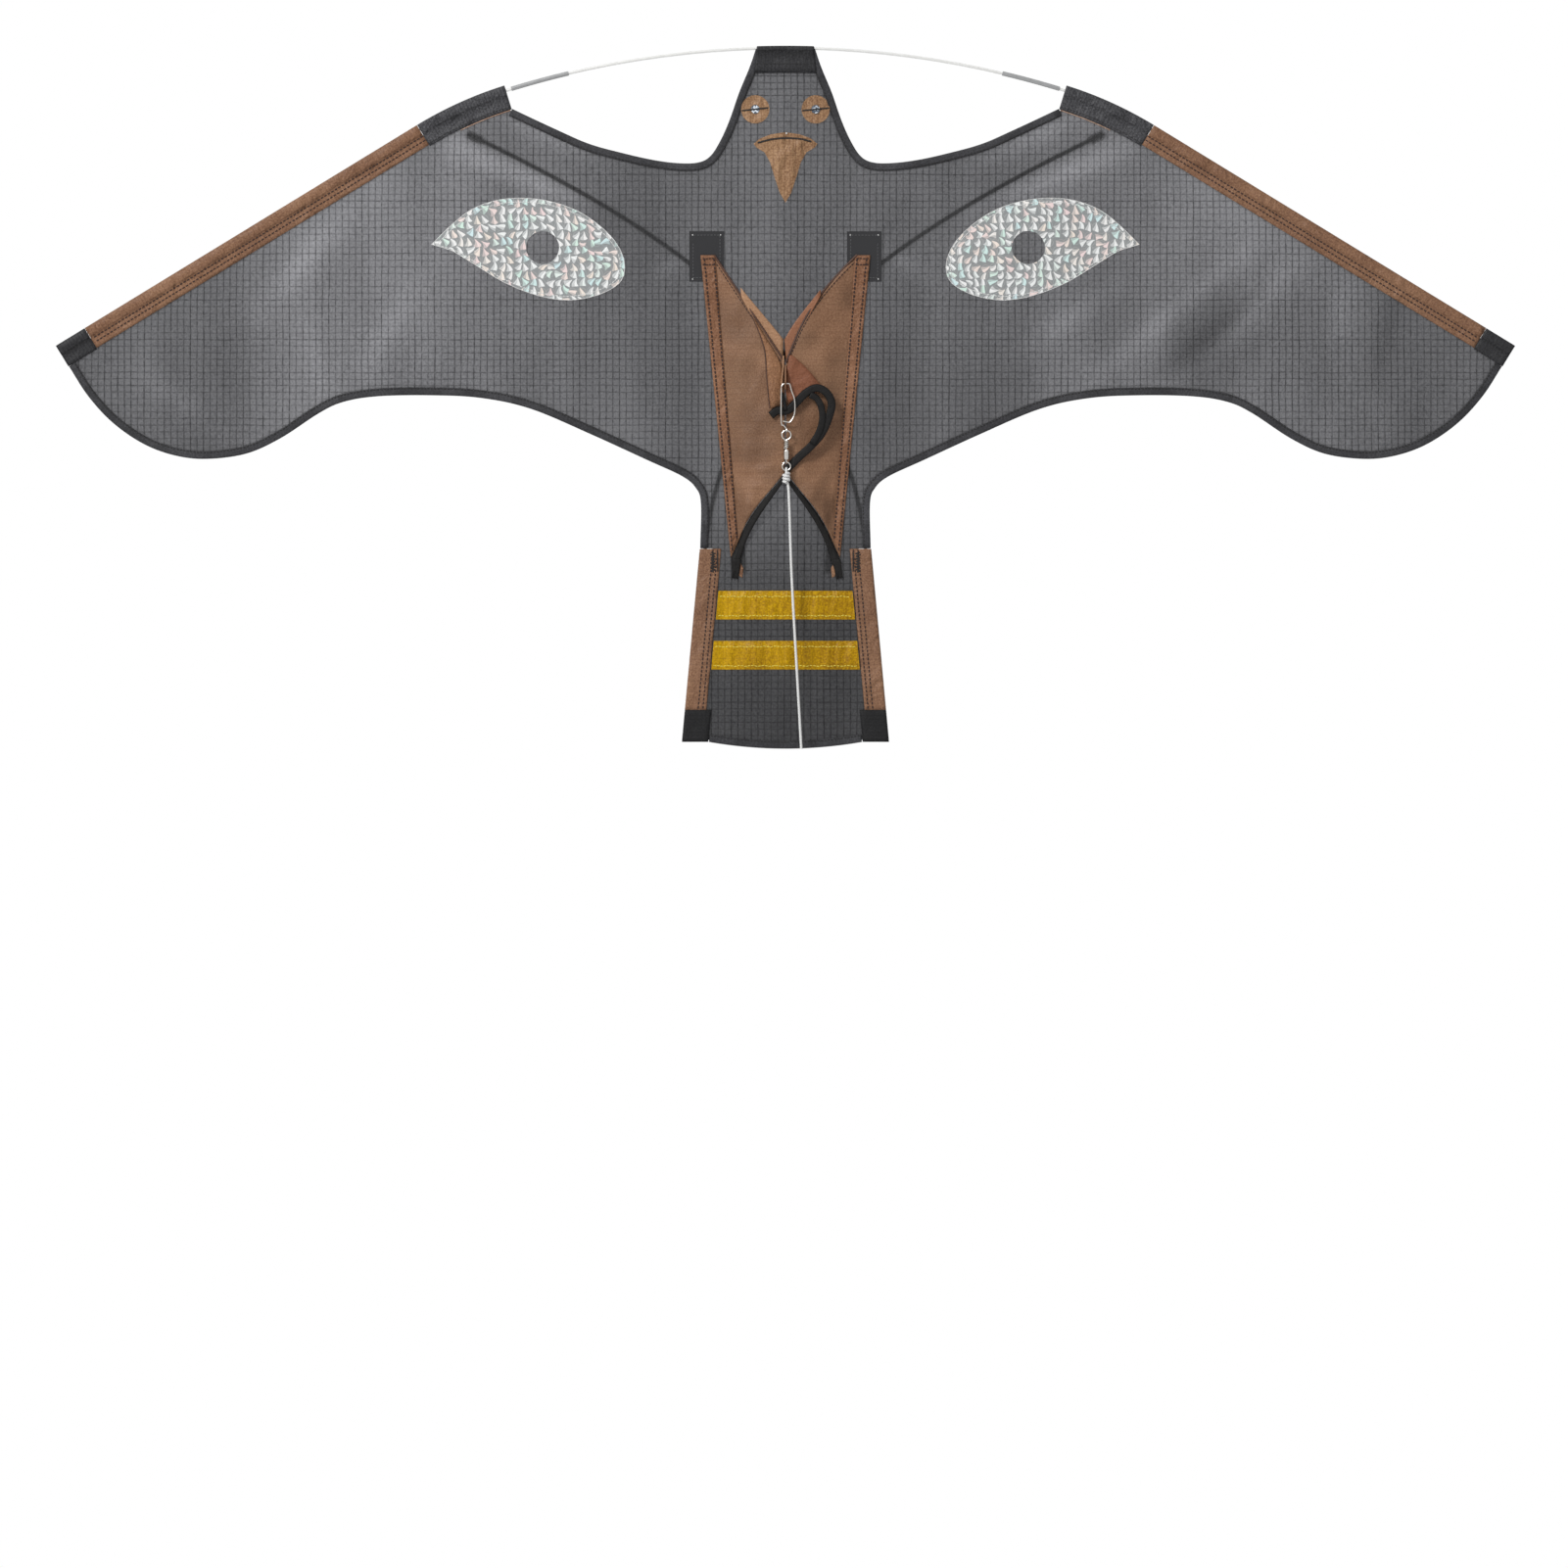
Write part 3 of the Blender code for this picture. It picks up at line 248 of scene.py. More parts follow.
knot_foot = knot[-1].z
route = [(line_x, line_top), (line_x, (line_top + knot_foot) / 2), (line_x, knot_foot)]
route += [(0.0030, -0.3990), (0.005533, -0.472), (0.009867, -0.551), (0.0142, -0.627)]
path = through([(x, line_y, z) for x, z in route], 8)
line = round_wire("line_braided", path, line_r, braid, "line_end", 4)
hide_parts("line")

# Sail
# One piece of thin grey ripstop, cut flat and hung from its edges, so it bellies a little in
# long soft folds. Light comes through it, so the rods behind show as dark lines, and painted
# shadow in the light through the cloth makes them darker and sharper. Painted shade also darkens
# its middle, its wing tips and its tail, and painted light and shade follow its drawn folds.
half_span = 0.650
bow_half = 0.250
bow_rise = 0.038
shoulder_r = 0.344
bow_r = (bow_half**2 + bow_rise**2) / (2 * bow_rise)
bow_angle = math.asin(bow_half / bow_r)
bow_length = bow_r * bow_angle
wing_angle = math.radians(31.43)
bend_length = shoulder_r * (wing_angle - bow_angle)


def spar_at(distance):
    """The place on the spar's axis in X and Z, and its slope, at a distance from the head."""
    angle = min(distance, bow_length) / bow_r
    place = Vector((bow_r * math.sin(angle), bow_r * (math.cos(angle) - 1)))
    if distance > bow_length:
        angle = bow_angle + min(distance - bow_length, bend_length) / shoulder_r
        place.x += shoulder_r * (math.sin(angle) - math.sin(bow_angle))
        place.y -= shoulder_r * (math.cos(bow_angle) - math.cos(angle))
    if distance > bow_length + bend_length:
        along = distance - bow_length - bend_length
        place += Vector((math.cos(angle), -math.sin(angle))) * along
    return place, angle


spar_length = bow_length + bend_length
while spar_at(spar_length)[0].x < half_span:
    spar_length += 0.0001

spar_r = 0.00125
cloth_t = 0.0005
head_half = 0.0254
tube_w = 0.0090
shoulder_w = 0.0220
tip_w = 0.0215
tail_top = Vector((0.0765, -0.4480))
tail_foot = Vector((0.0925, -0.6205))
foot_w = 0.0235
hem_rise = 0.0060


def beside(path, distance):
    """The path in X and Z moved to its right by a distance, with the direction to that side."""
    found = []
    for i, point in enumerate(path):
        ahead = (path[min(i + 1, len(path) - 1)] - path[max(i - 1, 0)]).normalized()
        side = Vector((ahead.y, -ahead.x))
        found.append((point + side * distance, side))
    return found


def tail_side(inwards, z):
    """A place beside the outer edge of the right tail sleeve, at a height."""
    share = (tail_top.y - z) / (tail_top.y - tail_foot.y)
    return tail_top.lerp(tail_foot, share) - Vector((inwards, 0))


def off_spar(distance, inwards):
    """A place beside the spar, towards the sail."""
    place, angle = spar_at(distance)
    return place - Vector((math.sin(angle), math.cos(angle))) * inwards


neck_shares = ((0.1315, -0.168), (0.1700, -0.386), (0.2050, -0.622), (0.2400, -0.806))
neck_shares += ((0.2780, -0.940), (0.3240, -0.993), (0.3950, -0.998), (0.4850, -0.972))
neck_shares += ((0.5950, -0.915), (0.7200, -0.835), (0.8300, -0.725))
neck = [Vector((x * 0.2425, z * 0.1035)) for x, z in neck_shares]
neck_end = off_spar(bow_length - seat, shoulder_w - tube_w / 2)
neck = through([Vector((0.0262, -0.0006)), *neck, neck_end], 6)
wing_shares = ((0.9590, -0.6950), (0.9250, -0.7482), (0.8830, -0.7901), (0.8400, -0.8132))
wing_shares += ((0.7960, -0.8201), (0.7420, -0.8097), (0.6950, -0.7789), (0.6420, -0.7286))
wing_shares += ((0.6080, -0.7062), (0.5600, -0.6950), (0.4880, -0.6929), (0.4180, -0.6985))
wing_shares += ((0.3500, -0.7202), (0.2680, -0.7705), (0.1900, -0.8223), (0.1420, -0.8545))
wing_shares += ((0.1230, -0.8782), (0.1160, -0.9090))
wing = [off_spar(spar_length - cloth_t, tip_w - tube_w / 2 + seat)]
wing += [Vector((x * half_span, z * 0.4480)) for x, z in wing_shares]
wing = through([*wing, tail_top + Vector((-cloth_t, seat + cloth_t / 2))], 7)
hem_half = tail_foot.x - foot_w - seat - cloth_t / 2
hem = []
for i in range(-20, 21):
    hem.append(Vector((hem_half * i / 20, tail_foot.y - hem_rise * (1 - (i / 20) ** 2))))

rod_slope = math.radians(25.5)
rod_start = Vector((-0.2830, -0.0775))
rod_end = tail_top - Vector((0.00475, 0))
rod_out = Vector((math.cos(rod_slope), -math.sin(rod_slope))) * 0.190
rod_in = (tail_foot - tail_top).normalized() * 0.185
rod_route = []
for i in range(41):
    t = i / 40
    place = rod_start * (1 - t) ** 3 + (rod_start + rod_out) * 3 * t * (1 - t) ** 2
    rod_route.append(place + (rod_end - rod_in) * 3 * t**2 * (1 - t) + rod_end * t**3)
held_lines = [(place, 0.004) for place in rod_route]
for i in range(24):
    held_lines.append((spar_at(bow_length + (spar_length - bow_length) * i / 23)[0], 0.022))
held_lines += [(tail_top.lerp(tail_foot, i / 9), 0.024) for i in range(10)]
held_lines += [(Vector((x, -0.012)), 0.018) for x in (0.0, 0.012, 0.024)]
held_lines += [(Vector((-place.x, place.y)), reach) for place, reach in held_lines]


pixel = 0.000876
middle_pixel, top_pixel = 802, 49


def at_pixels(*places):
    """Pixels of the photograph's upper view as places in X and Z."""
    return [Vector(((x - middle_pixel) * pixel, (top_pixel - y) * pixel)) for x, y in places]


# Folds that the cut draws from the shoulders and across the wings: two ends, half width and
# strength, less than 0 for a hollow.
drawn_folds = []
for ends, half_w, strength in (
    ((1148, 152, 996, 214), 0.0115, 0.80),
    ((1098, 120, 1001, 166), 0.0095, 0.60),
    ((904, 258, 938, 276), 0.0070, 0.55),
    ((1120, 383, 1268, 260), 0.0110, 0.48),
    ((1239, 365, 1319, 271), 0.0095, 0.44),
    ((1402, 394, 1428, 293), 0.0110, -0.42),
    ((1362, 351, 1377, 285), 0.0110, 0.36),
    ((1044, 358, 1138, 293), 0.0110, 0.40),
    ((1165, 395, 1290, 300), 0.0090, -0.34),
    ((1185, 335, 1300, 345), 0.0600, -0.66),
    ((466, 150, 596, 208), 0.0115, 0.85),
    ((512, 118, 596, 152), 0.0090, 0.55),
    ((312, 334, 336, 415), 0.0080, 0.26),
    ((352, 215, 262, 322), 0.0130, 0.45),
    ((420, 300, 372, 372), 0.0110, 0.35),
    ((700, 262, 672, 280), 0.0070, 0.40),
    ((150, 385, 205, 425), 0.0120, 0.40),
):
    drawn_folds.append((*at_pixels(ends[:2], ends[2:]), half_w, strength))


def drawn_at(x, z):
    """How strongly the drawn folds stand out at a place of the sail."""
    spot = Vector((x, z))
    found = 0.0
    for a, b, half_w, strength in drawn_folds:
        share = min(1.0, max(0.0, (spot - a).dot(b - a) / (b - a).length_squared))
        off = (spot - a.lerp(b, share)).length / half_w
        if off < 3:
            found += strength * math.exp(-(off**2)) * (0.45 + 0.55 * math.sin(math.pi * share))
    return found


def belly(x, z):
    """How far the limp sail stands in front of its flat cut at a place, in metres."""
    spot = Vector((x, z))
    free = min((spot - place).length - reach for place, reach in held_lines)
    free = min(1.0, max(0.0, free / 0.045))
    free *= free * (3 - 2 * free)
    long_fold = noise.noise(Vector((x * 15 + z * 4, z * 3.2, 7.3)))
    short_fold = noise.noise(Vector((x * 42 - z * 9, z * 9, 2.1)))
    folds = 0.0034 * long_fold + 0.0009 * short_fold + 0.0018 * drawn_at(x, z)
    return free * max(0.0, 0.0013 + folds)


def lay_on_sail(piece):
    """Moves a flat piece with the sail that it is sewn to, so that both share their folds."""
    for vertex in piece.data.vertices:
        vertex.co.y -= belly(vertex.co.x, vertex.co.z)


def new_mesh_piece(name, cloth):
    """A new piece made of a finished bmesh."""
    mesh = bpy.data.meshes.new(name)
    cloth.to_mesh(mesh)
    cloth.free()
    return new_piece(name, mesh)


def divided(cloth, name, low, high, pitch):
    """A piece of flat cloth, divided so finely between two corners that it can take folds."""
    for axis, side, normal in ((0, 0, (1, 0, 0)), (2, 1, (0, 0, 1))):
        at = low[side] + pitch
        while at < high[side]:
            plane = Vector((0, 0, 0))
            plane[axis] = at
            geometry = cloth.verts[:] + cloth.edges[:] + cloth.faces[:]
            bmesh.ops.bisect_plane(cloth, geom=geometry, dist=0.000001, plane_co=plane, plane_no=normal)
            at += pitch
    for edge in cloth.edges:
        edge.smooth = edge.calc_face_angle(0) < 0.6
    for face in cloth.faces:
        face.smooth = True
    return new_mesh_piece(name, cloth)


def cut_from(node, name, pitch):
    """New cloth to a CAD piece's cut, which takes that piece's place."""
    cloth = bmesh.new()
    cloth.from_mesh(nodes[node].data)
    bmesh.ops.remove_doubles(cloth, verts=cloth.verts, dist=0.00001)
    bmesh.ops.dissolve_limit(cloth, angle_limit=0.01, verts=cloth.verts, edges=cloth.edges)
    low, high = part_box(node)
    piece = divided(cloth, name, (low[0], low[2]), (high[0], high[2]), pitch)
    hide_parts(node)
    return piece


def thicken(piece, thickness):
    """Gives a surface of cloth its thickness, half of it to each side."""
    wall = piece.modifiers.new("cloth", "SOLIDIFY")
    wall.thickness = thickness
    wall.offset = 0
    bpy.ops.object.select_all(action="DESELECT")
    bpy.context.view_layer.objects.active = piece
    piece.select_set(True)
    bpy.ops.object.modifier_apply(modifier=wall.name)


def finish_piece(piece, material):
    """Gives a piece of the kite its material and the body that it moves with."""
    piece.data.materials.clear()
    piece.data.materials.append(material)
    belong(piece)


def reckon_vector(tree, operation, inputs):
    """A Vector Math node's result."""
    return add_node(tree, "ShaderNodeVectorMath", inputs, operation=operation).outputs[0]


def ranged(tree, value, low, high, to_low=0.0, to_high=1.0, smooth=False):
    """A value taken from one range to another, and kept inside it."""
    inputs = {0: value, 1: low, 2: high, 3: to_low, 4: to_high}
    kind = "SMOOTHSTEP" if smooth else "LINEAR"
    return add_node(tree, "ShaderNodeMapRange", inputs, interpolation_type=kind).outputs[0]


# The weave that every cloth here shares: a square of thicker threads, a fine thread texture
# and slow changes of tone.
weave = bpy.data.node_groups.new("Ripstop weave", "ShaderNodeTree")
for kind, names in (("Vector", ("Vector",)), ("Float", ("Pitch", "Thread", "Crumple"))):
    for name in names:
        weave.interface.new_socket(name, in_out="INPUT", socket_type=f"NodeSocket{kind}")
for name in ("Grid", "Tone", "Height"):
    weave.interface.new_socket(name, in_out="OUTPUT", socket_type="NodeSocketFloat")
given = add_node(weave, "NodeGroupInput").outputs
where = given["Vector"]
sway = noise_at(weave, where, 24.0, 2.0, "Color")
shifted = reckon_vector(weave, "MULTIPLY_ADD", {0: sway, 1: (0.0022, 0.0022, 0.0022), 2: where})
apart = add_node(weave, "ShaderNodeSeparateXYZ", {0: shifted}).outputs
half_pitch = reckon(weave, "MULTIPLY", given["Pitch"], 0.5)
threads = []
for axis, least in ((0, 0.52), (2, 0.32)):
    off = reckon(weave, "PINGPONG", apart[axis], half_pitch)
    thread = ranged(weave, off, 0.0, given["Thread"], 1.0, 0.0, smooth=True)
    number = reckon(weave, "ROUND", reckon(weave, "DIVIDE", apart[axis], given["Pitch"]))
    number = reckon(weave, "ADD", number, 40.5 * axis)
    chance = add_node(weave, "ShaderNodeTexWhiteNoise", {"W": number}, noise_dimensions="1D")
    strength = reckon(weave, "MULTIPLY_ADD", chance.outputs["Value"], 0.36, least)
    threads.append(reckon(weave, "MULTIPLY", thread, strength))
grid = reckon(weave, "MAXIMUM", *threads)
broken = reckon(weave, "MULTIPLY", noise_at(weave, where, 330.0, 1.0), 2.2)
grid = {0: grid, 1: broken}
grid = add_node(weave, "ShaderNodeMath", grid, operation="MULTIPLY", use_clamp=True).outputs[0]
tall = reckon_vector(weave, "MULTIPLY", {0: where, 1: (1.0, 1.0, 0.3)})
slow = noise_at(weave, tall, 13.0, 3.0)
crumple = {"Vector": shifted, "Scale": 11.0, "Randomness": 1.0}
crumple = add_node(weave, "ShaderNodeTexVoronoi", crumple, feature="DISTANCE_TO_EDGE")
crease = ranged(weave, crumple.outputs["Distance"], 0.0, 0.05, 1.0, 0.0)
pressed = ranged(weave, noise_at(weave, where, 7.0, 1.0), 0.52, 0.66)
fine = noise_at(weave, where, 620.0, 1.0)
tone = reckon(weave, "MULTIPLY_ADD", fine, 0.5, reckon(weave, "MULTIPLY", slow, 0.5))
height = reckon(weave, "MULTIPLY_ADD", grid, 0.6, fine)
height = reckon(weave, "MULTIPLY_ADD", reckon(weave, "MULTIPLY", crease, pressed), 2.4, height)
rumpled = noise_at(weave, tall, 48.0, 3.0, distortion=0.8)
height = reckon(weave, "MULTIPLY_ADD", rumpled, given["Crumple"], height)
add_node(weave, "NodeGroupOutput", {"Grid": grid, "Tone": tone, "Height": height})


def woven(
    name, light, dark, threads, pitch=0.0050, thread=0.0003, rise=0.0004, crumple=0.0,
    place="UV", rough=0.55, gloss=0.3,
):
    """Cloth in the weave: its tones between light and dark, its threads' own colour, pitch and
    width, and how deep its threads and its crumples are."""
    made, tree, shader = new_finish(name, Roughness=rough, Specular_IOR_Level=gloss)
    where = add_node(tree, "ShaderNodeTexCoord").outputs[place]
    group = {"Vector": where, "Pitch": pitch, "Thread": thread, "Crumple": crumple / rise}
    group = add_node(tree, "ShaderNodeGroup", group, node_tree=weave).outputs
    cloth = blend(tree, ranged(tree, group["Tone"], 0.36, 0.64), dark, light)
    lined = blend(tree, group["Grid"], cloth, threads)
    tree.links.new(lined, shader.inputs["Base Color"])
    bump = {"Height": group["Height"], "Distance": rise, "Strength": 0.6}
    bump = add_node(tree, "ShaderNodeBump", bump).outputs[0]
    tree.links.new(bump, shader.inputs["Normal"])
    return made, tree, shader, group, lined, bump


def cloth_of(name, light, dark, threads, **more):
    """Cloth in the weave, its colours as they look in daylight."""
    return woven(name, linear(*light), linear(*dark), linear(*threads), **more)[0]


def marked(tree, name):
    """A level that the mesh carries at its corners."""
    return add_node(tree, "ShaderNodeAttribute", attribute_name=name).outputs["Fac"]


ripstop, tree, shader, group, lined, bump = woven(
    "grey ripstop", (0.114, 0.114, 0.118, 1), (0.050, 0.050, 0.053, 1), (0.016, 0.016, 0.017, 1),
    pitch=0.0059, thread=0.00085, rise=0.0002, crumple=0.0015, place="Object", rough=0.62, gloss=0.35,
)
# Painted light: on the back of the sail behind the keel panels, the colour is raised and tinted brown as if
# light came through them.
painted_keel_light_colour = blend(tree, marked(tree, "painted_keel_light"), lined, (1.42, 1.20, 1.27, 1), "MULTIPLY")
tree.links.new(painted_keel_light_colour, shader.inputs["Base Color"])
spot = add_node(tree, "ShaderNodeSeparateXYZ", {0: object_place(tree)}).outputs
# Painted shade: low on the tail the cloth lets less light through, half as much below z = -0.50.
painted_tail_shade = ranged(tree, spot[2], -0.50, -0.40, 0.50, 1.0)
# Painted shade: the cloth lets less light through near the middle and towards the wing tips.
out_from_middle = reckon(tree, "ABSOLUTE", spot[0])
painted_middle_shade = ranged(tree, out_from_middle, 0.10, 0.36, 0.76, 1.0, smooth=True)
painted_tip_shade = ranged(tree, out_from_middle, 0.40, 0.58, 1.0, 0.76, smooth=True)
# Painted shadow: the cloth lets less light through along the rods behind it.
clear = reckon(tree, "MULTIPLY_ADD", marked(tree, "painted_rod_shadow"), -0.85, 1.0)
clear = reckon(tree, "MULTIPLY", clear, reckon(tree, "MULTIPLY", painted_middle_shade, painted_tip_shade))
# Painted light and shade: more light through the cloth on the drawn folds, less in their hollows.
drawn = reckon(tree, "MULTIPLY_ADD", marked(tree, "painted_fold_light"), 0.45, 1.0)
clear = reckon(tree, "MULTIPLY", clear, drawn)
passed = blend(tree, group["Grid"], (0.74, 0.74, 0.76, 1), (0.32, 0.32, 0.33, 1))
cloudy = ranged(tree, group["Tone"], 0.36, 0.64, 0.78, 1.08)
through_cloth = reckon(tree, "MULTIPLY", reckon(tree, "MULTIPLY", painted_tail_shade, cloudy), clear)
let = reckon_vector(tree, "SCALE", {0: passed, "Scale": through_cloth})
glowing = add_node(tree, "ShaderNodeBsdfTranslucent", {"Color": let, "Normal": bump})
sheer = {0: 0.5, 1: shader.outputs[0], 2: glowing.outputs[0]}
sheer = add_node(tree, "ShaderNodeMixShader", sheer)
tree.links.new(sheer.outputs[0], tree.nodes["Material Output"].inputs["Surface"])

edge_setback = 0.0012
sail_tuck = 0.0015
under_sleeve = tube_w / 2 + sail_tuck
tail_low = tail_foot.y + 0.0020
head_top = -(spar_r + seat + cloth_t / 2) - sail_tuck
outline = [Vector((0, head_top)), Vector((head_half - edge_setback, head_top))]
below_head = [(place, side) for place, side in beside(neck, 0) if place.y < head_top - 0.001]
outline += [place + side * edge_setback for place, side in below_head][:-1]
outline.append(off_spar(bow_length + edge_setback, shoulder_w - tube_w / 2 + edge_setback))
for i in range(13):
    outline.append(off_spar(bow_length + edge_setback + bend_length * i / 12, under_sleeve))
for inwards in (under_sleeve, tip_w - tube_w / 2):
    outline.append(off_spar(spar_length - 0.0020, inwards))
outline += [place + side * edge_setback for place, side in beside(wing, 0)][1:-1]
outline.append(tail_top + Vector((-edge_setback, seat)))
for inwards, z in ((0.0110, tail_top.y + seat), (0.0110, tail_low), (foot_w, tail_low)):
    outline.append(tail_side(inwards, z))
outline += [place - side * edge_setback for place, side in reversed(beside(hem[20:], 0))]
outline += [Vector((-place.x, place.y)) for place in reversed(outline) if place.x > seat]
cloth = bmesh.new()
cloth.faces.new([cloth.verts.new((place.x, 0, place.y)) for place in outline])
sail = divided(cloth, "sail_ripstop", (-half_span, -0.627), (half_span, 0.0), 0.0060)
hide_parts("sail")
cloth = bmesh.new()
cloth.from_mesh(sail.data)


def from_rods(place):
    """How far a place of the sail is from the nearer of the two crossed rods, in X and Z."""
    nearest = 1.0
    for sign in (1, -1):
        spot = Vector((place.x * sign, place.z))
        for a, b in zip(rod_route, rod_route[1:]):
            share = min(1.0, max(0.0, (spot - a).dot(b - a) / (b - a).length_squared))
            nearest = min(nearest, (spot - a.lerp(b, share)).length)
    return nearest


near = set()
for face in cloth.faces:
    if from_rods(face.calc_center_median()) < 0.0060:
        near.update(face.edges)
bmesh.ops.subdivide_edges(cloth, edges=list(near), cuts=5, use_grid_fill=True)
for face in cloth.faces:
    face.smooth = True
cloth.to_mesh(sail.data)
cloth.free()
# Painted shadow of the rods: corners close to a rod are marked, up to 1 at its middle.
shade = sail.data.attributes.new("painted_rod_shadow", "FLOAT", "POINT")
# The drawn folds' painted light and shade, marked at each corner.
fold_light_mark = sail.data.attributes.new("painted_fold_light", "FLOAT", "POINT")
for vertex in sail.data.vertices:
    fold_light_mark.data[vertex.index].value = drawn_at(vertex.co.x, vertex.co.z)
    shade.data[vertex.index].value = min(1.0, max(0.0, (0.0022 - from_rods(vertex.co)) / 0.0012))
lay_on_sail(sail)
thicken(sail, 0.0006)
finish_piece(sail, ripstop)

# Bindings
# Black bias tape, folded over the raw edge of the neck, of the wings and of the hem, and sewn
# through with one row of black thread close to its inner edge.
tape_w = 0.0067
lay = 0.00085
pocket_splay = 0.10


def skin(name, rows, marks, closed_end=False):
    """Smooth cloth over rows of places. Each place's mark is its UV, in metres."""
    cloth = bmesh.new()
    layer = cloth.loops.layers.uv.new("UVMap")
    rows = [[cloth.verts.new(place) for place in row] for row in rows]
    for i in range(len(rows) - 1):
        for j in range(len(rows[0]) - 1):
            corners = ((i, j), (i, j + 1), (i + 1, j + 1), (i + 1, j))
            face = cloth.faces.new([rows[a][b] for a, b in corners])
            face.smooth = True
            for loop, (a, b) in zip(face.loops, corners):
                loop[layer].uv = marks[a][b]
    if closed_end:
        cloth.faces.new(rows[-1])
    bmesh.ops.recalc_face_normals(cloth, faces=cloth.faces)
    return new_mesh_piece(name, cloth)


def fold_strip(name, stations, profile, material, pucker=0.0, closed_end=False, on_sail=True):
    """Cloth folded to a profile along stations, each a place and its direction inwards."""
    run, along = [0.0], [0.0]
    for a, b in zip(profile, profile[1:]):
        run.append(run[-1] + math.dist(a, b))
    for a, b in zip(stations, stations[1:]):
        along.append(along[-1] + (b[0] - a[0]).length)
    rows = []
    for gone, (place, inward) in zip(along, stations):
        row = []
        for crossed, (reach, y) in zip(run, profile):
            rough = noise.noise(Vector((gone * 75, crossed * 130, len(name))))
            rough += 0.5 * noise.noise(Vector((gone * 210, crossed * 210, 3.0)))
            swell = 1 + pucker * rough * min(1.0, reach / 0.004)
            spot = place + inward * reach
            row.append((spot.x, y * swell, spot.y))
        rows.append(row)
    marks = [[(gone, crossed) for crossed in run] for gone in along]
    piece = skin(name, rows, marks, closed_end)
    if on_sail:
        lay_on_sail(piece)
    thicken(piece, cloth_t)
    finish_piece(piece, material)
    return piece


tape_weave = {"pitch": 0.0011, "rise": 0.00015, "rough": 0.6, "gloss": 0.22}
tones = (37, 35, 34), (18, 17, 17), (15, 14, 14)
black = cloth_of("black bias tape", *tones, crumple=0.0020, **tape_weave)
# A paler copy of the black tape, for the neck, wing and hem bindings and behind the keel seams.
tones = (84, 84, 87), (52, 52, 55), (46, 46, 48)
paler_tape = cloth_of("paler black bias tape", *tones, crumple=0.0024, **tape_weave)

tape = [(tape_w, lay), (tape_w * 0.7, lay), (tape_w * 0.35, lay + 0.0001), (0.0012, lay)]
tape += [(0.0005, lay * 0.8), (0.0001, lay * 0.35)]
tape = tape + [(0.0, 0.0)] + [(reach, -y) for reach, y in reversed(tape)]


def mirrored(stations):
    """The same stations on the left wing."""
    flip = Vector((-1, 1))
    return [(place * flip, inward * flip) for place, inward in stations]


wings = (("right", list), ("left", mirrored))
row_inset = tape_w - 0.0011
bindings = []
for side, turn in wings:
    for name, path in (("neck_binding", neck), ("trailing_binding", wing)):
        stations = beside(path, 0)
        if path is neck:
            for i, (place, inward) in enumerate(stations):
                room = place.x - head_half + pocket_splay * place.y + 0.0008
                stations[i] = (place, inward * min(1.0, max(0.2, room / tape_w)))
        piece = fold_strip(f"{name}_{side}_tape", turn(stations), tape, paler_tape, 0.12)
        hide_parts(f"{name}_{side}")
        bindings.append((piece, turn(beside(path, row_inset))))
around = [(place, -inward) for place, inward in beside(hem, 0)]
hem_tape = fold_strip("tail_hem_tape", around, tape, paler_tape, 0.12)
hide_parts("tail_hem")
bindings.append((hem_tape, beside(hem, -row_inset)))


# Stitching
# Lock stitches about 3 mm long. Each row is one piece of short plump stitches that sit half
# sunk in the cloth, on the side that is seen.
def sewn_row(name, path, material, slot, onto, front=True, pitch=0.0030, stitch=0.0022, thick=0.00035):
    """A row of stitches along a path in X and Z, laid on the surface of the pieces it goes through."""
    trees = [BVHTree.FromObject(piece, bpy.context.evaluated_depsgraph_get()) for piece in onto]
    look = 1 if front else -1
    row = bmesh.new()
    total = sum((b - a).length for a, b in zip(path, path[1:]))
    for k in range(max(1, int(total / pitch))):
        goal, gone = (k + 0.5) * pitch, 0.0
        for a, b in zip(path, path[1:]):
            if gone + (b - a).length >= goal:
                break
            gone += (b - a).length
        spot = a.lerp(b, (goal - gone) / max((b - a).length, 0.000001))
        ahead = (b - a).normalized()
        eye = Vector((spot.x, -0.08 * look, spot.y))
        hits = [surface.ray_cast(eye, Vector((0, look, 0)))[0] for surface in trees]
        hits = [hit.y * look for hit in hits if hit]
        if not hits:
            continue
        centre = Vector((spot.x, min(hits) * look, spot.y))
        run, across = Vector((ahead.x, 0, ahead.y)), Vector((-ahead.y, 0, ahead.x))
        rings = []
        for share, size in ((-0.5, 0.35), (-0.32, 0.95), (0.32, 0.95), (0.5, 0.35)):
            ring = []
            for corner in range(6):
                turn = math.pi / 3 * corner
                out = across * math.cos(turn) + Vector((0, -look, 0)) * math.sin(turn)
                ring.append(row.verts.new(centre + run * stitch * share + out * thick * size))
            rings.append(ring)
        for low, high in zip(rings, rings[1:]):
            for corner in range(6):
                after = (corner + 1) % 6
                row.faces.new((low[corner], low[after], high[after], high[corner]))
        row.faces.new(rings[0])
        row.faces.new(rings[-1])
    bmesh.ops.recalc_face_normals(row, faces=row.faces)
    finish_piece(new_mesh_piece(name, row), material)


def sewn_through(name, path, material, slot, front, back=None, sizes=()):
    """The two faces of a row: on a piece in front, and behind on the same piece or another."""
    sewn_row(f"{name}_front", path, material, slot, [front], True, *sizes)
    sewn_row(f"{name}_back", path, material, slot, [back or front], False, *sizes)


black_thread = thread_of("black sewing thread", (24, 22, 22), 0.55)
for piece, inner in bindings:
    path = [place for place, _ in inner]
    sizes = (0.0030, 0.0022, 0.0005)
    sewn_through(f"{piece.name}_stitches", path, black_thread, "black_tape", piece, sizes=sizes)

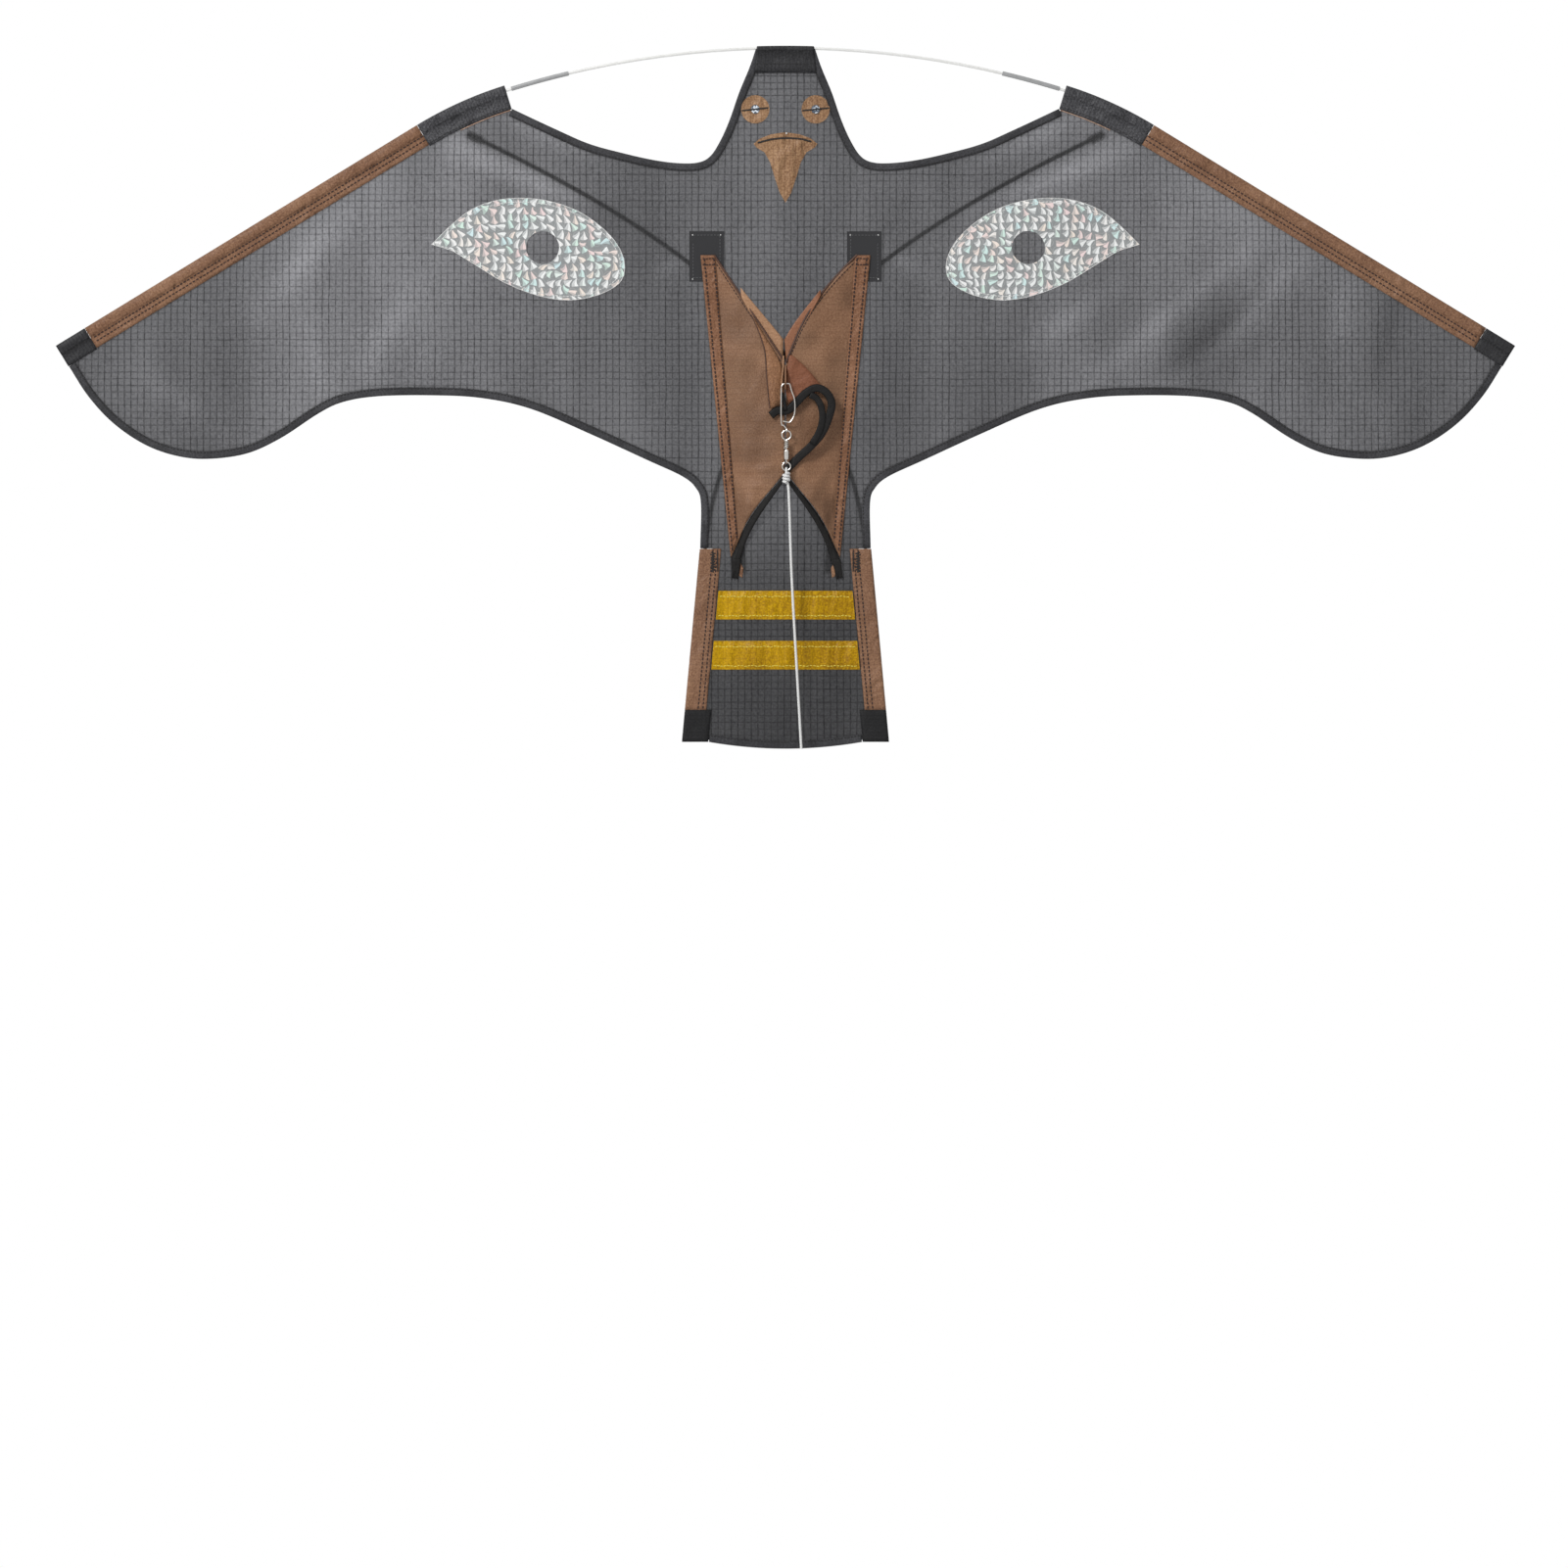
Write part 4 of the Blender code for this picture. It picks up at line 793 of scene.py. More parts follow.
# Leading sleeves
# Brown ripstop folded round the spar along the straight of each wing and sewn down with two
# rows of dark thread. The fold is loose, so it puckers along the rod.
brown = cloth_of("brown ripstop", (160, 121, 93), (112, 79, 60), (116, 83, 63), crumple=0.0090)
brown_thread = thread_of("dark brown sewing thread", (44, 24, 19), 0.55)
sleeve_row = (0.0036, 0.0026, 0.00065)


def tube_profile(width, tube, rod, rod_y=0.0, over=lay):
    """Cloth folded round a rod: both flanges lie on the sail, and the fold holds the rod."""
    swell = rod_y + rod + seat + cloth_t / 2
    low = rod_y / 2
    reaches = (width, width * 0.75 + tube * 0.25, width * 0.4 + tube * 0.6)
    side = [(reach, over) for reach in reaches]
    for degrees in range(0, 166, 15):
        angle = math.radians(degrees)
        base = over if degrees < 90 else low
        side.append((tube / 2 * (1 + math.cos(angle)), base + (swell - base) * math.sin(angle)))
    if rod_y:
        flat = [tube * share for share in (0.06, 0.3, 0.6, 1.0)] + list(reversed(reaches))
        return side + [(0.0, low)] + [(reach, -lay) for reach in flat]
    return side + [(0.0, 0.0)] + [(reach, -y) for reach, y in reversed(side)]


def spar_stations(start, end, step=0.003):
    """Stations on the fold of a sleeve over the right half of the spar."""
    count = max(2, int((end - start) / step))
    found = []
    for i in range(count + 1):
        distance = start + (end - start) * i / count
        angle = spar_at(distance)[1]
        found.append((off_spar(distance, -tube_w / 2), Vector((-math.sin(angle), -math.cos(angle)))))
    return found


def sleeve_for(node, stations, profile, material, pucker, closed_end=False):
    """A folded sleeve or pocket that takes the place of the part's own."""
    name = f"{node}_folded"
    piece = fold_strip(name, stations, profile, material, pucker, closed_end, on_sail=False)
    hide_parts(node)
    return piece


def inside_by(stations, inset):
    """A path beside the fold of a sleeve."""
    return [place + inward * inset for place, inward in stations]


sleeve_start = bow_length + bend_length
tip_start = spar_length - 0.0300
for side, turn in wings:
    stations = turn(spar_stations(sleeve_start + seat / 2, tip_start - seat / 2, 0.004))
    profile = tube_profile(0.0205, tube_w, spar_r)
    sleeve = sleeve_for(f"leading_sleeve_{side}", stations, profile, brown, 0.22)
    for number, inset in ((1, tube_w + 0.0022), (2, tube_w + 0.0062)):
        name, path = f"leading_row_{number}_{side}", inside_by(stations, inset)
        sewn_through(name, path, brown_thread, "brown_cloth", sleeve, sizes=sleeve_row)

# Shoulder sleeves and pockets
# Black cloth in double thickness where the spar bends at the shoulder, at both wing tips, over
# the head and at the feet of the crossed rods, because that is where the rods wear through.
stout_weave = {"pitch": 0.0030, "thread": 0.0004, "rise": 0.0003}
tones = (62, 62, 64), (34, 34, 36), (30, 30, 32)
black_cloth = cloth_of("black cloth", *tones, crumple=0.0060, gloss=0.25, **stout_weave)
# A paler copy of the black cloth, for the shoulder sleeves.
tones = (96, 96, 99), (46, 46, 49), (36, 36, 38)
paler_cloth = cloth_of("paler black cloth", *tones, crumple=0.0110, gloss=0.25, **stout_weave)
tones = (42, 42, 43), (27, 27, 28), (24, 24, 25)
name = "black cloth of the foot pockets"
foot_cloth = cloth_of(name, *tones, crumple=0.0040, rough=0.6, gloss=0.2, **stout_weave)
plain_edge = {"thread": 0.0004, "rise": 0.0001, "place": "Object", "rough": 0.6, "gloss": 0.5}
tones = (214, 182, 160), (158, 118, 94), (150, 110, 88)
selvedge = cloth_of("pale tan edge of cloth", *tones, pitch=0.0030, **plain_edge)

for side, turn in wings:
    stations = turn(spar_stations(bow_length, sleeve_start - seat / 2))
    profile = tube_profile(shoulder_w, tube_w, spar_r)
    node = f"shoulder_sleeve_{side}"
    shoulder = sleeve_for(node, stations, profile, paler_cloth, 0.26)
    path = inside_by(stations, shoulder_w - 0.0025)
    sewn_through(f"shoulder_row_{side}", path, black_thread, "black_tape", shoulder)
    edge = turn(spar_stations(bow_length + 0.0015, bow_length + 0.052))
    for face, y in (("front", -lay), ("back", lay)):
        welt = inside_by(edge, shoulder_w + seat + 0.0004)
        welt = [(place.x, y - belly(place.x, place.y), place.y) for place in welt]
        round_wire(f"shoulder_welt_{side}_{face}", welt, 0.0004, selvedge)
    stations = turn(spar_stations(tip_start + seat / 2, spar_length))
    profile = tube_profile(tip_w, tube_w, spar_r)
    tip = sleeve_for(f"tip_pocket_{side}", stations, profile, black_cloth, 0.15, True)
    path = inside_by(stations, tube_w + 0.0015)
    sewn_through(f"tip_row_{side}", path, black_thread, "black_tape", tip)

head_tube = 2 * (spar_r + seat + cloth_t / 2)
stations = []
for i in range(-12, 13):
    place = off_spar(bow_r * math.asin(head_half * abs(i) / 12 / bow_r), -head_tube / 2)
    place.x = math.copysign(place.x, i)
    stations.append((place, Vector((pocket_splay * i / 12, -1))))
profile = tube_profile(0.0240, head_tube, spar_r, over=0.00135)
head_pocket = sleeve_for("head_pocket", stations, profile, black_cloth, 0.15)
sewn_through("head_row", inside_by(stations, 0.0160), black_thread, "black_tape", head_pocket)

# Tail sleeves
# The same brown sleeve carries the lower half of each crossed rod, with a black pocket that
# closes its foot. A thick bar tack of dark thread takes the pull at the mouth.
rod_r = 0.0015
rod_y = 0.0030
tail_tube = 0.0095
pocket_h = 0.0285
down = tail_foot - tail_top
mouth_share = 1 - pocket_h / -down.y


def tail_stations(turn, shares):
    """Stations down the fold of a tail sleeve."""
    return turn([(tail_top + down * share, Vector((-1, 0))) for share in shares])


for side, turn in wings:
    stations = tail_stations(turn, [mouth_share * i / 36 for i in range(37)])
    profile = tube_profile(0.0190, tail_tube, rod_r, rod_y)
    sleeve = sleeve_for(f"tail_sleeve_{side}", stations, profile, brown, 0.14)
    for number, inset, width in ((1, tail_tube + 0.0022, 0.0015), (2, tail_tube + 0.0064, 0.0)):
        name, path = f"tail_row_{number}_{side}", inside_by(stations, inset)
        sewn_through(name, path, brown_thread, "brown_cloth", sleeve, sizes=sleeve_row)
        tack = []
        place, inward = stations[0]
        for i in range(16):
            zigzag = inward * (inset + (width if i % 2 else -width))
            tack.append(place + zigzag + Vector((0, -0.0030 - 0.0012 * i)))
        sizes = (0.0019, 0.0026, 0.0007)
        sewn_row(f"tail_tack_{number}_{side}", tack, black_thread, "black_tape", [sleeve], True, *sizes)
    shares = [mouth_share + (1 - mouth_share) * (i + 0.01) / 9.01 for i in range(10)]
    profile = tube_profile(foot_w, tail_tube, rod_r, rod_y)
    stations = tail_stations(turn, shares)
    sleeve_for(f"tail_pocket_{side}", stations, profile, foot_cloth, 0.1, True)

# Tail bands
# Two bands of mustard yellow ripstop sewn across the tail, each with a row of yellow thread
# near its top and its foot, which draws the cloth into small puckers.
tones = (214, 168, 12), (148, 106, 2), (160, 118, 3)
bright_weave = {"rise": 0.0003, "crumple": 0.0110, "place": "Object", "rough": 0.45, "gloss": 0.2}
yellow = cloth_of("mustard yellow ripstop", *tones, **bright_weave)
yellow_thread = thread_of("yellow sewing thread", (250, 220, 96), 0.5)
band_h = 0.0257
for name, top in (("tail_band_upper", -0.4855), ("tail_band_lower", -0.5303)):
    band = cut_from(name, f"{name}_sewn", 0.0016)
    for vertex in band.data.vertices:
        x, z = vertex.co.x, vertex.co.z
        ripple = noise.noise(Vector((x * 60 + z * 18, z * 12, top * 50)))
        crease = noise.noise(Vector((x * 170 - z * 30, z * 26, top * 90)))
        edge = min(1.0, max(0.0, min(top - z, z - top + band_h) / 0.005))
        vertex.co.y -= max(0.0, 0.0010 + 0.0026 * ripple + 0.0014 * crease) * edge
    lay_on_sail(band)
    finish_piece(band, yellow)
    for number, z in ((1, top - 0.0052), (2, top - band_h + 0.0033)):
        reach = tail_side(0.0215, z).x
        path = [Vector((-reach + reach * i / 20, z + 0.0004 * math.sin(i * 1.9))) for i in range(41)]
        row_name, sizes = f"{name}_row_{number}", (0.0031, 0.0026, 0.0004)
        sewn_through(row_name, path, yellow_thread, "yellow_cloth", band, sail, sizes)

# Wing eyes
# A leaf of thin silver film with a pressed pattern of small facets. The white, mint and pink that it
# throws back are painted reflections in its colour, each facet with a painted lit half and shaded half.
# It is sewn to the front of each wing with white thread and open at the pupil.
film_values = {"Roughness": 0.35, "Metallic": 0.1, "Specular_IOR_Level": 0.3}
film, tree, shader = new_finish("silver holographic film", **film_values)
facet_pitch = 0.0072
where = object_place(tree)
wobble = noise_at(tree, where, 38.0, 1.0, "Color")
bent = reckon_vector(tree, "MULTIPLY_ADD", {0: wobble, 1: (0.006, 0.0, 0.006), 2: where})
apart = add_node(tree, "ShaderNodeSeparateXYZ", {0: bent}).outputs
across, up = (reckon(tree, "MULTIPLY", apart[axis], 1 / facet_pitch) for axis in (0, 2))
flat = add_node(tree, "ShaderNodeCombineXYZ", {0: across, 1: up}).outputs[0]
facets = {"Vector": flat, "Scale": 1.0, "Randomness": 0.45}
facets = add_node(tree, "ShaderNodeTexVoronoi", facets, voronoi_dimensions="2D").outputs
chance = add_node(tree, "ShaderNodeSeparateColor", {0: facets["Color"]}).outputs
own = reckon_vector(tree, "SUBTRACT", {0: flat, 1: facets["Position"]})
lean = reckon(tree, "MULTIPLY_ADD", chance[0], 1.3, -4.15)
lean = reckon(tree, "MULTIPLY_ADD", noise_at(tree, where, 26.0, 1.0), 7.0, lean)
spun = {"Vector": own, "Angle": lean}
spun = add_node(tree, "ShaderNodeVectorRotate", spun, rotation_type="Z_AXIS").outputs[0]
fin = add_node(tree, "ShaderNodeSeparateXYZ", {0: spun}).outputs
curve = reckon(tree, "MULTIPLY", fin[1], fin[1])
curve = reckon(tree, "MULTIPLY_ADD", curve, 0.10, fin[0])
half_wide = reckon(tree, "MULTIPLY_ADD", fin[1], -0.40, 0.26)
inside_fin = reckon(tree, "SUBTRACT", half_wide, reckon(tree, "ABSOLUTE", curve))
inside_fin = reckon(tree, "MINIMUM", inside_fin, reckon(tree, "ADD", fin[1], 0.50))
solid = ranged(tree, inside_fin, -0.02, 0.03)
# Painted light and shade: one half of each facet is lighter than the other, and a thin bright arc rings each
# cell.
level = reckon(tree, "GREATER_THAN", curve, -0.04)
level = reckon(tree, "MULTIPLY_ADD", level, 0.50, 0.44)
level = reckon(tree, "MULTIPLY_ADD", chance[2], 0.12, level)
ring = reckon(tree, "ABSOLUTE", reckon(tree, "SUBTRACT", facets["Distance"], 0.50))
ring = ranged(tree, ring, 0.0, 0.05, 0.24, 0.0)
painted_facet_glint = reckon(tree, "MAXIMUM", reckon(tree, "MULTIPLY", solid, level), ring)
# Painted reflections: each facet takes a white, mint, cream or pink tint.
hue = add_node(tree, "ShaderNodeValToRGB", {0: chance[1]})
stops = hue.color_ramp.elements
stops[0].color = linear(252, 228, 228)
stops[1].color = linear(222, 246, 250)
hues = (0.20, (254, 242, 230)), (0.34, (255, 255, 254)), (0.70, (252, 255, 254)), (0.84, (224, 250, 236))
for at, tint in hues:
    stops.new(at).color = linear(*tint)
painted_film_reflection = blend(tree, painted_facet_glint, linear(150, 153, 154), hue.outputs["Color"])
tree.links.new(painted_film_reflection, shader.inputs["Base Color"])
bump = add_node(tree, "ShaderNodeBump", {"Height": painted_facet_glint, "Distance": 0.0004, "Strength": 0.6})
tree.links.new(bump.outputs[0], shader.inputs["Normal"])
white_thread = thread_of("white sewing thread", (236, 236, 232), 0.5)


def on_side(path, sign):
    """A path in X and Z on the right half, or with sign -1 on the left half."""
    return [Vector((place[0] * sign, place[1])) for place in path]


signs = (("right", 1), ("left", -1))
eye_shares = ((0.500, 0.045), (0.410, 0.215), (0.300, 0.380), (0.170, 0.475), (0.030, 0.500))
eye_shares += ((-0.120, 0.465), (-0.270, 0.360), (-0.400, 0.180), (-0.475, 0.000), (-0.500, -0.180))
eye_shares += ((-0.470, -0.335), (-0.360, -0.450), (-0.210, -0.500), (-0.050, -0.455))
eye_shares += ((0.120, -0.330), (0.270, -0.160), (0.390, -0.020))
leaf = [Vector((0.2300 + 0.1735 * x, -0.1800 + 0.0918 * z)) for x, z in eye_shares]
centre = Vector((0.2280, -0.1800))
rim = through([*leaf, leaf[0]], 4)
leaf_row = [centre + (point - centre) * Vector((0.95, 0.92)) for point in rim]
rim = [spot.lerp(centre, 0.006) for spot in rim]
for side, sign in signs:
    eye = cut_from(f"wing_eye_{side}", f"wing_eye_{side}_film", 0.0060)
    lay_on_sail(eye)
    finish_piece(eye, film)
    row_name, sizes = f"wing_eye_row_{side}", (0.0033, 0.0028, 0.0004)
    sewn_through(row_name, on_side(leaf_row, sign), white_thread, "silver_film", eye, sail, sizes)
    # The rim row: close white stitches at the film's edge, which also paint the highlight along its cut
    # edge.
    row_name, sizes = f"wing_eye_rim_{side}", (0.0028, 0.0032, 0.0003)
    sewn_row(row_name, on_side(rim, sign), white_thread, "silver_film", [eye], True, *sizes)

# Face
# Two discs of tan cloth with a sequin sewn on by a bar of dark thread, and a beak of the same
# cloth with a stitched mouth line and a fold pressed across it.
tones = (176, 138, 104), (108, 74, 48), (118, 84, 58)
tan = cloth_of("tan cloth", *tones, rise=0.0005, crumple=0.0130, place="Object", rough=0.5)
sequin_foil, tree, shader = new_finish("sequin foil", Roughness=0.3, Metallic=0.7)
flake = add_node(tree, "ShaderNodeTexVoronoi", {"Vector": object_place(tree), "Scale": 620.0})
apart = add_node(tree, "ShaderNodeSeparateXYZ", {0: flake.outputs["Color"]}).outputs
glint = ranged(tree, apart[0], 0.25, 0.95, smooth=True)
tint = blend(tree, glint, linear(84, 92, 104), linear(236, 244, 252))
tree.links.new(tint, shader.inputs["Base Color"])
for side, sign in signs:
    disc = cut_from(f"head_eye_{side}", f"head_eye_{side}_disc", 0.0020)
    for vertex in disc.data.vertices:
        x, z = vertex.co.x, vertex.co.z
        ripple = noise.noise(Vector((x * 160 + z * 90, z * 140, sign * 4.0)))
        vertex.co.y -= max(0.0, 0.0006 + 0.0014 * ripple)
    lay_on_sail(disc)
    finish_piece(disc, tan)
    sequin = cut_from(f"sequin_{side}", f"sequin_{side}_foil", 0.0020)
    for vertex in sequin.data.vertices:
        vertex.co.y -= 0.0012
    lay_on_sail(sequin)
    finish_piece(sequin, sequin_foil)
    path = [Vector((0.0270 * sign + 0.0115 * share, -0.0550 + 0.0012 * share)) for share in (-1, 0, 1)]
    onto, sizes = [disc, sequin], (0.0012, 0.0026, 0.0008)
    sewn_row(f"head_bar_{side}", path, black_thread, "black_tape", onto, True, *sizes)

beak = cut_from("beak", "beak_cloth", 0.0020)
for vertex in beak.data.vertices:
    crease = (vertex.co.x * 0.75 - vertex.co.z - 0.0950) / 0.003
    ripple = noise.noise(Vector((vertex.co.x * 90, vertex.co.z * 60, 8.0)))
    vertex.co.y -= max(0.0, 0.0006 + 0.0012 * math.exp(-(crease**2)) + 0.0008 * ripple)
lay_on_sail(beak)
finish_piece(beak, tan)
mouth = ((-0.0245, -0.0850), (-0.0120, -0.0818), (0.0, -0.0808), (0.0120, -0.0814), (0.0230, -0.0838))
sizes = (0.0016, 0.0026, 0.0009)
sewn_row("beak_mouth", through(mouth, 5), black_thread, "black_tape", [beak], True, *sizes)
for name, z in (("top", -0.0765), ("tip", -0.1372)):
    dot, sizes = [Vector((0.0002, z)), Vector((0.0017, z))], (0.0014, 0.0018, 0.0008)
    sewn_row(f"beak_dot_{name}", dot, white_thread, "silver_film", [beak, sail], True, *sizes)

# Keel
# Two limp panels of brown ripstop, hemmed twice and sewn to the sail over a black patch, with
# tape and a second patch behind. They meet at the ridge, and black tape binds the arch.
keel_top = Vector((0.0760, -0.1855))
keel_foot = Vector((0.0470, -0.4740))
vee_z = -0.2820
arch_z = -0.3870
ridge_half = 0.0006
keel_w = 0.0755
vee_bow = 0.0110
keel_y = -0.00165
arch_shares = ((0.00, 0.000), (0.27, 0.200), (0.46, 0.345), (0.64, 0.505))
arch_shares += ((0.78, 0.670), (0.88, 0.840), (1.00, 1.000))
arch_path = through(arch_shares, 4)


def keel_depth(across, down):
    """How far the limp panel stands off the sail: over the patch, then on the sail itself."""
    below = (down - 0.0815 - 0.10) / 0.20
    seam = -lay + (keel_y + lay) * (1 - min(1.0, max(0.0, below)))
    if across <= 0.16:
        return seam
    rise = (across - 0.16) / 0.84
    return seam - 0.0100 * (1 - 0.28 * down) * math.sin(math.pi / 2 * rise) ** 1.5


def keel_place(across, down, bow=0.0):
    """A point of the right panel: across from the seam to the ridge, down from the vee, whose
    edge hangs in by a bow."""
    where = (1 - across) * (len(arch_path) - 1)
    low = min(int(where), len(arch_path) - 2)
    at = arch_path[low].lerp(arch_path[low + 1], where - low)
    ridge_top, ridge_foot = Vector((ridge_half, vee_z)), Vector((ridge_half, arch_z))
    arch = ridge_foot + (keel_foot - ridge_foot) * at
    flat = 0.0120 / (keel_top.x - ridge_half)
    fall = max(0.0, (across - flat) / (1 - flat))
    vee = keel_top + (ridge_top - keel_top) * Vector((across, fall))
    vee.x -= bow * math.sin(math.pi * fall) * (1 - 0.3 * fall)
    edges = vee * (1 - down) + arch * down
    edges += keel_top.lerp(keel_foot, down) * (1 - across) + ridge_top.lerp(ridge_foot, down) * across
    corners = keel_top.lerp(ridge_top, across) * (1 - down) + keel_foot.lerp(ridge_foot, across) * down
    return edges - corners, keel_depth(across, down)


def keel_cloth(name, downs, acrosses, thickness, material, soft=0.0, push=0.0, pucker=0.0):
    """A part of the keel's surface, with folds that fade out at the seams. Each place across
    it is a share of the way from a seam to the ridge and the sign of its side."""
    rows, marks = [], []
    for down in downs:
        row, mark = [], []
        for across, side in acrosses:
            place, y = keel_place(across, down, vee_bow if side > 0 else 0.0)
            x, z = place
            free = min(1.0, (across - 0.17) / 0.25, (1.02 - across) / 0.42, (down + 0.05) / 0.2)
            free = max(0.0, min(free, (1 - down) / 0.1))
            wave = noise.noise(Vector((x * 26 + z * 9 * side, z * 8, 5 + 3 * side)))
            wave += 0.45 * noise.noise(Vector((x * 60 - z * 30 * side, z * 26, 2 + side)))
            run = z * 200 - (x * 150 if side > 0 else 0.0)
            drawn = noise.noise(Vector((x * 40, run, 9 + side)))
            wave += 0.9 * max(0.0, down - 0.35) * drawn
            pulled = noise.noise(Vector((x * 150, z * 260, 4 + side)))
            y -= push + soft * free * max(0.0, wave + 0.5) + pucker * max(0.0, 0.3 + pulled)
            row.append((x * side, y, z))
            mark.append((keel_top.y - z, across * keel_w))
        rows.append(row)
        marks.append(mark)
    piece = skin(name, rows, marks)
    thicken(piece, thickness)
    lay_on_sail(piece)
    finish_piece(piece, material)
    return piece


keel_length = arch_z - keel_foot.y
panel_end = 1 - 0.0055 / keel_length
tones = (92, 62, 48), (66, 44, 34), (50, 34, 28)
hem_brown = cloth_of("rolled brown hem", *tones, pitch=0.0024, **plain_edge)
hem_cloth = cloth_of("turned brown hem", (162, 118, 90), (112, 76, 54), (112, 78, 58), crumple=0.0110)
tones = linear(156, 119, 92), linear(122, 88, 66), linear(124, 90, 68)
soft_brown, tree, shader, _, lined, _ = woven("soft brown ripstop", *tones, crumple=0.0026)
# Painted shade: soft random patches darken the panel's colour to stand for the shade in its hollows.
painted_hollow_shade = noise_at(tree, object_place(tree), 19.0, 1.0, distortion=0.9)
painted_hollow_shade = ranged(tree, painted_hollow_shade, 0.36, 0.62, 0.76, 1.06)
shaded = reckon_vector(tree, "SCALE", {0: lined, "Scale": painted_hollow_shade})
tree.links.new(shaded, shader.inputs["Base Color"])
pale_thread = thread_of("grey sewing thread", (82, 82, 84), 0.6)

# The sail's back faces behind each keel panel, marked for the painted brown light.
painted_keel_light_mark = sail.data.attributes.new("painted_keel_light", "FLOAT", "POINT")
straight_back = Vector((0, -1, 0))
back_y = 0.0008
patch_row = (0.0030, 0.0022, 0.0004)
patch_corners = ((0.0825, -0.1675), (0.0585, -0.1675), (0.0585, -0.2055), (0.0825, -0.2055))
patch_corners += (patch_corners[0],)
dots = ((0.0830, -0.1668), (0.0580, -0.1668), (0.0830, -0.2062))
for side, sign in signs:
    patch = cut_from(f"keel_patch_{side}", f"keel_patch_{side}_sewn", 0.0040)
    lay_on_sail(patch)
    finish_piece(patch, black_cloth)
    path = on_side(patch_corners, sign)
    patch_path = [a.lerp(b, i / 8) for a, b in zip(path, path[1:]) for i in range(8)]
    row_name = f"keel_patch_row_{side}"
    sewn_row(row_name, patch_path, pale_thread, "black_tape", [patch], True, *patch_row)
    for number, (x, z) in enumerate(dots):
        dot, sizes = on_side(((x, z), (x, z - 0.0012)), sign), (0.0011, 0.0014, 0.0005)
        row_name = f"keel_dot_{number}_{side}"
        sewn_row(row_name, dot, white_thread, "silver_film", [patch], True, *sizes)

    downs = [panel_end * i / 60 for i in range(61)]
    acrosses = [(j / 36, sign) for j in range(37)]
    name = f"keel_panel_{side}"
    panel = keel_cloth(f"{name}_cloth", downs, acrosses, cloth_t, soft_brown, 0.0044)
    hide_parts(name)
    cover = BVHTree.FromObject(panel, bpy.context.evaluated_depsgraph_get())
    for vertex in sail.data.vertices:
        if vertex.normal.y > 0.3 and vertex.co.x * sign > 0 and cover.ray_cast(vertex.co, straight_back)[0]:
            painted_keel_light_mark.data[vertex.index].value = 1.0

    inward = Vector((-sign, 0))
    path = on_side([keel_place(0.0, 0.085 + 0.90 * i / 59)[0] for i in range(60)], sign)
    stations = [(place, inward) for place in path]
    profile = [(0.0132 * j / 3, back_y) for j in range(4)]
    name = f"keel_seam_tape_{side}"
    seam_tape = fold_strip(name, stations, profile, paler_tape, 0.35)
    stations = [(Vector((0.0838 * sign, -0.1662 - 0.0408 * i / 12)), inward) for i in range(13)]
    profile = [(0.0270 * j / 8, back_y) for j in range(9)]
    name = f"keel_patch_back_{side}"
    back_patch = fold_strip(name, stations, profile, black_cloth, 0.2)
    row_name = f"keel_patch_back_row_{side}"
    sewn_row(row_name, patch_path, pale_thread, "black_tape", [back_patch], False, *patch_row)

    downs = [panel_end * 0.985 * i / 150 for i in range(151)]
    acrosses = [(0.003 + 0.172 * j / 8, sign) for j in range(9)]
    turned_in = keel_cloth(
        f"keel_hem_{side}_folded", downs, acrosses, cloth_t, hem_cloth,
        push=0.0006, pucker=0.0009,
    )
    for number, inset in ((1, 0.0032), (2, 0.0118)):
        downs = [panel_end * (0.01 + 0.98 * i / 39) for i in range(40)]
        path = on_side([keel_place(inset / keel_w, down)[0] for down in downs], sign)
        row_name, sizes = f"keel_row_{number}_{side}", (0.0036, 0.0026, 0.0008)
        sewn_row(row_name, path, brown_thread, "brown_cloth", [turned_in], True, *sizes)
    zigzag = []
    for i in range(104):
        zigzag.append(keel_place((0.0026 + 0.0082 * (i % 2)) / keel_w, 0.01 + 0.97 * i / 103)[0])
    onto, sizes = [seam_tape, back_patch], (0.0032, 0.0022, 0.0004)
    row_name = f"keel_seam_{side}"
    sewn_row(row_name, on_side(zigzag, sign), pale_thread, "black_tape", onto, False, *sizes)

    bow = vee_bow if sign > 0 else 0.0
    hem_line = []
    for i in range(31):
        (x, z), y = keel_place(0.16 + 0.84 * i / 30, 0.0, bow)
        hem_line.append((x * sign, y - 0.0006 - belly(x, z), z + 0.0004))
    round_wire(f"keel_vee_hem_{side}", hem_line, 0.0010, hem_brown)
    path = [keel_place(0.03 + 0.95 * i / 39, 0.0, bow)[0] - Vector((0, 0.0042)) for i in range(40)]
    row_name, sizes = f"keel_vee_row_{side}", (0.0034, 0.0028, 0.0005)
    sewn_row(row_name, on_side(path, sign), brown_thread, "brown_cloth", [panel], True, *sizes)
    for number, drop in ((1, 0.0030), (2, 0.0085)):
        path = on_side([(0.0745 - 0.0125 * i / 8, keel_top.y - drop) for i in range(9)], sign)
        row_name, sizes = f"keel_top_row_{number}_{side}", (0.0028, 0.0024, 0.0006)
        sewn_row(row_name, path, brown_thread, "brown_cloth", [panel, turned_in], True, *sizes)

acrosses = [(j / 30, 1) for j in range(31)] + [((30 - j) / 30, -1) for j in range(31)]
downs = [panel_end + (1 - panel_end) * share for share in (0.12, 0.4, 0.7, 1.0)]
binding = keel_cloth("keel_binding_tape", downs, acrosses, 0.0014, black, push=0.00045)
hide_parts("keel_binding")


